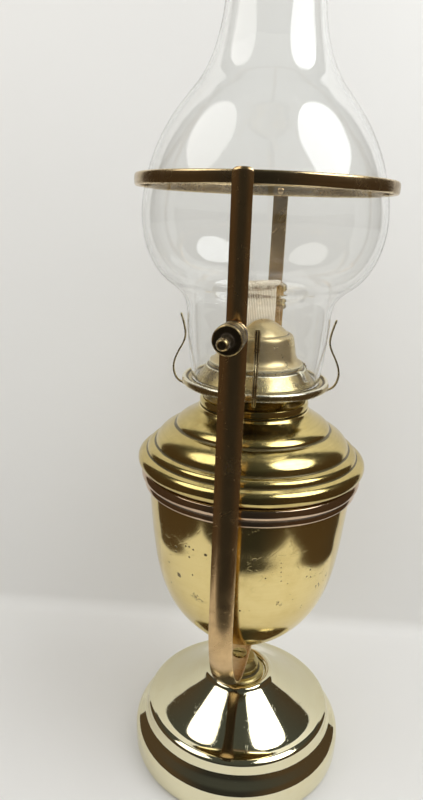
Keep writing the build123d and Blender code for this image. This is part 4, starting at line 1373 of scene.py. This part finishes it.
@dataclass
class Wick:
    """Flat knitted wick with upright ribs and a frayed top."""

    racks: FinishRack
    width: float = 25.4
    thick: float = 3.0
    top: float = 301.2
    low: float = 128.0
    rib: float = 1.27
    stitch: float = 1.5
    fibres: int = 1100

    def _outline(self) -> list[Point3]:
        """Return the flat loop of the section as (x, y, rib phase), in millimetres."""
        loop = []
        half, deep = self.width / 2, self.thick / 2
        count = 200
        for side in (1, -1):
            for k in range(count):
                x = side * (-half + deep + (self.width - 2 * deep) * k / count)
                loop.append((x, -side * deep, (x + half) / self.rib))
            for k in range(10):
                angle = -math.pi / 2 + math.pi * k / 10
                loop.append((side * (half - deep + deep * math.cos(angle)), side * deep * math.sin(angle),
                             (side * half + half) / self.rib + 0.1 * k))
        return loop

    def _strip(self) -> bpy.types.Mesh:
        """Return the knitted strip, finely made where it shows above the dome."""
        loop = self._outline()
        rows = list(np.arange(self.low, 268.0, 2.0)) + list(np.arange(268.0, self.top, 0.22))
        points: list[Point3] = []
        yarn: list[float] = []
        for z in rows:
            flare = min(1.0, max(0.0, (z - 297.2) / 3.6))
            puff = math.sin(flare * 2.5)
            lean = 0.8 * flare
            for i, (x, y, phase) in enumerate(loop):
                rise = abs(math.sin(math.pi * phase))
                slant = 0.35 if int(math.floor(phase)) % 2 else -0.35
                loops = 0.5 + 0.5 * math.cos(TURN * (z / self.stitch + slant * (phase % 1.0) * 2.0))
                level = 0.62 * rise + 0.38 * loops * rise
                rough = noise.noise(Vector((x * 1.7, y * 2.0, z * 1.3))) * (0.09 + 0.55 * puff)
                rough += noise.noise(Vector((x * 4.1, y * 4.0, z * 3.7))) * 0.45 * puff
                level = level * (1.0 - 0.75 * puff) + 0.75 * puff
                out = -0.28 + 0.34 * level + rough + 0.55 * puff
                length = math.hypot(x * 0.02, y) or 1.0
                grow = 1.0 + 0.11 * puff
                px = x * grow + (x * 0.02 / length) * out + lean
                py = y + (y / length) * out
                sag = 0.9 * noise.noise(Vector((x * 0.5, 0.0, 4.0))) * flare
                points.append((px * MM, py * MM, (z + sag) * MM))
                # The rib height is kept for the painted shade of the cotton: dark in the grooves, light on
                # the crests.
                yarn.append(max(0.0, min(1.0, level)))
        size = len(loop)
        faces: list[tuple[int, ...]] = []
        for r in range(len(rows) - 1):
            for k in range(size):
                n = (k + 1) % size
                faces.append((r * size + k, r * size + n, (r + 1) * size + n, (r + 1) * size + k))
        faces.append(tuple(range(size)))
        last = (len(rows) - 1) * size
        centre = len(points)
        points.append((1.3 * MM, 0.0, (self.top + 0.1) * MM))
        yarn.append(0.2)
        faces += [(last + k, last + (k + 1) % size, centre) for k in range(size)]
        return cotton_mesh("wick", points, faces, yarn)

    def _fray(self) -> bpy.types.Mesh:
        """Return the loose fibres along the top as thin bent tubes."""
        draw = random.Random(41)
        points: list[Point3] = []
        faces: list[tuple[int, ...]] = []
        half, deep = self.width / 2, self.thick / 2
        for _ in range(self.fibres):
            x = draw.uniform(-half - 0.6, half + 1.2)
            y = draw.choice((-1, 1)) * deep * draw.uniform(0.2, 1.05)
            base = Vector((x + 0.8, y, self.top - draw.uniform(0.1, 3.4)))
            edge = max(0.0, (abs(x) - half * 0.8) / (half * 0.2))
            way = Vector((draw.gauss(0.12, 0.35) + edge * math.copysign(0.8, x),
                          math.copysign(draw.uniform(0.1, 0.9), y), draw.uniform(0.25, 0.9))).normalized()
            length = draw.uniform(0.8, 2.3)
            curl = Vector((draw.gauss(0, 0.6), draw.gauss(0, 0.6), draw.gauss(-0.2, 0.4)))
            radius = draw.uniform(0.04, 0.085)
            side = way.cross(Vector((0.3, 0.2, 0.9))).normalized()
            other = way.cross(side).normalized()
            start = len(points)
            for k in range(6):
                t = k / 5
                spot = base + way * (length * t) + curl * (length * 0.5 * t * t)
                spot.z = min(spot.z, 301.9)
                size = radius * (1 - 0.6 * t)
                for j in range(3):
                    angle = TURN * j / 3
                    p = spot + side * (size * math.cos(angle)) + other * (size * math.sin(angle))
                    points.append((p.x * MM, p.y * MM, p.z * MM))
            for k in range(5):
                for j in range(3):
                    a, b = start + k * 3 + j, start + k * 3 + (j + 1) % 3
                    faces.append((a, b, b + 3, a + 3))
            faces.append((start, start + 1, start + 2))
            faces.append((start + 15, start + 16, start + 17))
        # The loose fibres take a near-crest value of the painted rib shade, so they show light.
        return cotton_mesh("fray", points, faces, [0.85] * len(points))

    def build(self) -> None:
        """Make the strip and its frayed top."""
        turn = Matrix.Rotation(math.radians(WICK_TURN), 4, "Z")
        cotton = self.racks.cotton()
        Piece("knitted_wick", Body.WICK, Slot.COTTON, cotton, ("wick",)).place(
            self._strip(), turn, worn=False)
        Piece("wick_fray", Body.WICK, Slot.COTTON, cotton).place(self._fray(), turn, worn=False)


# ------------------------------------------------------------------ chimney


@dataclass
class Chimney:
    """Blown glass chimney with a bulge over the flame and a fire-rounded mouth."""

    racks: FinishRack
    wall: float = 2.0
    line: tuple[Point2, ...] = (
        (36.4, 248.2), (36.5, 251.0), (37.2, 256.0), (38.0, 262.0), (38.7, 270.0), (39.5, 280.0),
        (40.2, 289.0), (42.4, 294.2), (46.6, 298.4), (51.6, 302.2), (56.0, 306.8), (60.4, 314.4),
        (63.2, 322.4), (64.6, 331.0), (64.7, 339.0), (63.6, 348.0), (61.4, 357.5), (58.1, 367.5),
        (53.8, 376.6), (49.0, 384.6), (42.2, 393.6), (36.0, 401.6), (31.2, 410.6), (27.6, 421.0),
        (25.3, 433.0), (24.2, 446.0), (23.8, 460.0), (24.2, 474.0), (25.4, 487.0), (27.1, 498.8))

    def build(self) -> None:
        """Make the chimney."""
        outer = smooth_line(self.line, 1.6)
        inner = inside_line(outer, self.wall)
        mouth = [(outer[-1][0] - 0.35, outer[-1][1] + 0.75),
                 ((outer[-1][0] + inner[0][0]) / 2, outer[-1][1] + 1.1),
                 (inner[0][0] + 0.35, inner[0][1] + 0.75)]
        glass = Piece("blown_chimney", Body.GLASS, Slot.GLASS, self.racks.glass(), ("chimney",))
        glass.place(lathe_mesh(outer + mouth + inner, 192, wobble=0.06, seed=5.5), worn=False)


# ------------------------------------------------------------------ studio


@dataclass
class Studio:
    """Paper sweep, soft boxes, room and camera."""

    paper: Colour = (0.80, 0.793, 0.775)
    paper_shade: Colour = (0.72, 0.70, 0.67)
    sweep_x: Point2 = (-0.25, 0.23)
    front: float = -0.22
    crease: float = 0.125
    wall_top: float = 0.95
    sweep_turn: float = 8.4
    sensor_width: float = 36.0
    lens: float = 28.65
    lens_shift: Point2 = (-0.0104, 0.0006)
    camera_place: Point3 = (0.0510, -0.3500, 0.3362)
    camera_ahead: Point3 = (-0.19092, 0.94092, -0.27966)
    camera_right: Point3 = (0.97697, 0.20979, 0.03887)
    lit_point: Point3 = (0.0, 0.0, 0.22)

    def _paper(self) -> bpy.types.Material:
        """Return the sweep's material: paper in front, and nothing to a viewer behind it."""
        material, w = blank_material("sweep_paper")
        place = w.place()
        cloud = w.remap(w.noise(place, 6.0, 3.0), 0.3, 0.8, 0.0, 0.06)
        colour = w.tint(cloud, self.paper, self.paper_shade)
        shader = w.principled(Base_Color=colour, Roughness=0.6, Specular_IOR_Level=0.25)
        clear = w.add("ShaderNodeBsdfTransparent")
        w.finish(w.mix(w.add("ShaderNodeNewGeometry").outputs["Backfacing"], shader, clear))
        return material

    def _sweep(self) -> None:
        """Make the table top and the wall as one sheet with a soft crease."""
        bend = 0.012
        line = [(self.front, 0.0), (self.crease - bend, 0.0)]
        for k in range(1, 9):
            angle = math.pi / 2 * k / 8
            line.append((self.crease - bend + bend * math.sin(angle), bend * (1 - math.cos(angle))))
        line.append((self.crease, self.wall_top))
        points = [(x, y, z) for y, z in line for x in self.sweep_x]
        faces = [(2 * i, 2 * i + 1, 2 * i + 3, 2 * i + 2) for i in range(len(line) - 1)]
        mesh = bpy.data.meshes.new("sweep")
        mesh.from_pydata(points, [], faces)
        mesh.polygons.foreach_set("use_smooth", [True] * len(faces))
        mesh.materials.append(self._paper())
        sweep = bpy.data.objects.new("studio_sweep", mesh)
        sweep.rotation_euler = (0.0, 0.0, math.radians(self.sweep_turn))
        bpy.context.scene.collection.objects.link(sweep)
        floor = bpy.data.meshes.new("floor")
        far, low = 4.0, -0.0012
        floor.from_pydata([(-far, -far, low), (far, -far, low), (far, far, low), (-far, far, low)], [],
                          [(0, 1, 2, 3)])
        floor.materials.append(mesh.materials[0])
        plain = bpy.data.objects.new("studio_floor", floor)
        bpy.context.scene.collection.objects.link(plain)
        plain.visible_glossy = False

    def _light(self, name: str, where: Point3, aim: Point3, size: Point2, power: float,
               colour: Colour) -> None:
        """Hang one soft box.

        Args:
            name: the light's name.
            where: its place in metres.
            aim: the point it faces.
            size: its width and height.
            power: its strength in watts.
            colour: its colour.
        """
        data = bpy.data.lights.new(name, "AREA")
        data.shape, data.size, data.size_y = "ELLIPSE", size[0], size[1]
        data.energy, data.color = power, colour
        lamp = bpy.data.objects.new(name, data)
        lamp.location = where
        lamp.rotation_euler = (Vector(aim) - Vector(where)).to_track_quat("-Z", "Y").to_euler()
        lamp.visible_camera = False
        bpy.context.scene.collection.objects.link(lamp)

    def _room(self) -> None:
        """Set the room: dim and brownish where metal mirrors it, pale where it is seen directly."""
        world = bpy.data.worlds.new("room")
        bpy.context.scene.world = world
        world.use_nodes = True
        world.node_tree.nodes.clear()
        w = Wiring(world.node_tree)
        way = w.add("ShaderNodeTexCoord").outputs["Generated"]
        parts = w.add("ShaderNodeSeparateXYZ")
        w.feed(parts.inputs[0], way)
        side = w.remap(w.math("ABSOLUTE", parts.outputs[0]), 0.25, 0.85)
        dark = w.tint(side, (0.026, 0.025, 0.022), (0.075, 0.050, 0.028))
        dark = w.tint(w.remap(parts.outputs[2], 0.35, 0.95), dark, (0.060, 0.064, 0.056))
        path = w.add("ShaderNodeLightPath")
        direct = w.math("LESS_THAN", path.outputs["Glossy Depth"], 0.5)
        direct = w.math("MAXIMUM", direct, path.outputs["Is Diffuse Ray"])
        tone = w.tint(direct, dark, (0.70, 0.692, 0.672))
        light = w.add("ShaderNodeBackground")
        w.feed(light.inputs["Color"], tone)
        output = w.add("ShaderNodeOutputWorld")
        w.feed(output.inputs["Surface"], light.outputs[0])

    def _camera(self) -> None:
        """Set the camera at its place over the near arm."""
        data = bpy.data.cameras.new("camera")
        data.sensor_width, data.lens = self.sensor_width, self.lens
        data.sensor_fit = "AUTO"
        data.shift_x, data.shift_y = self.lens_shift
        data.clip_start = 0.01
        camera = bpy.data.objects.new("camera", data)
        ahead = Vector(self.camera_ahead)
        right = Vector(self.camera_right)
        up = right.cross(ahead).normalized()
        right = ahead.cross(up).normalized()
        matrix = Matrix((right, up, -ahead.normalized())).transposed().to_4x4()
        matrix.translation = Vector(self.camera_place)
        camera.matrix_world = matrix
        bpy.context.scene.collection.objects.link(camera)
        bpy.context.scene.camera = camera

    def build(self) -> None:
        """Set up the sweep, the lights, the room and the camera."""
        self._camera()
        self._sweep()
        self._room()
        warm, cool = (1.0, 0.985, 0.955), (0.965, 0.985, 1.0)
        self._light("softbox_left", (-0.36, -0.19, 0.72), self.lit_point, (0.40, 0.40), 0.85, warm)
        self._light("softbox_right", (0.42, -0.10, 0.74), self.lit_point, (0.48, 0.48), 2.4, cool)
        bpy.context.scene.view_settings.view_transform = "Standard"


# ------------------------------------------------------------------ the lamp


def main() -> None:
    """Build the lamp round its frame and set the studio."""
    logging.basicConfig(level=logging.INFO, format="%(message)s")
    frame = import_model()
    nodes = frame["nodes"]
    Studio().build()
    racks = FinishRack()
    Stand(racks).build(nodes)
    Yoke(racks).build(nodes)
    SwingingFrame(racks).build(nodes)
    Font(racks).build(nodes)
    Burner(racks).build(nodes)
    Wick(racks).build()
    Chimney(racks).build()


if __name__ == "__main__":
    main()
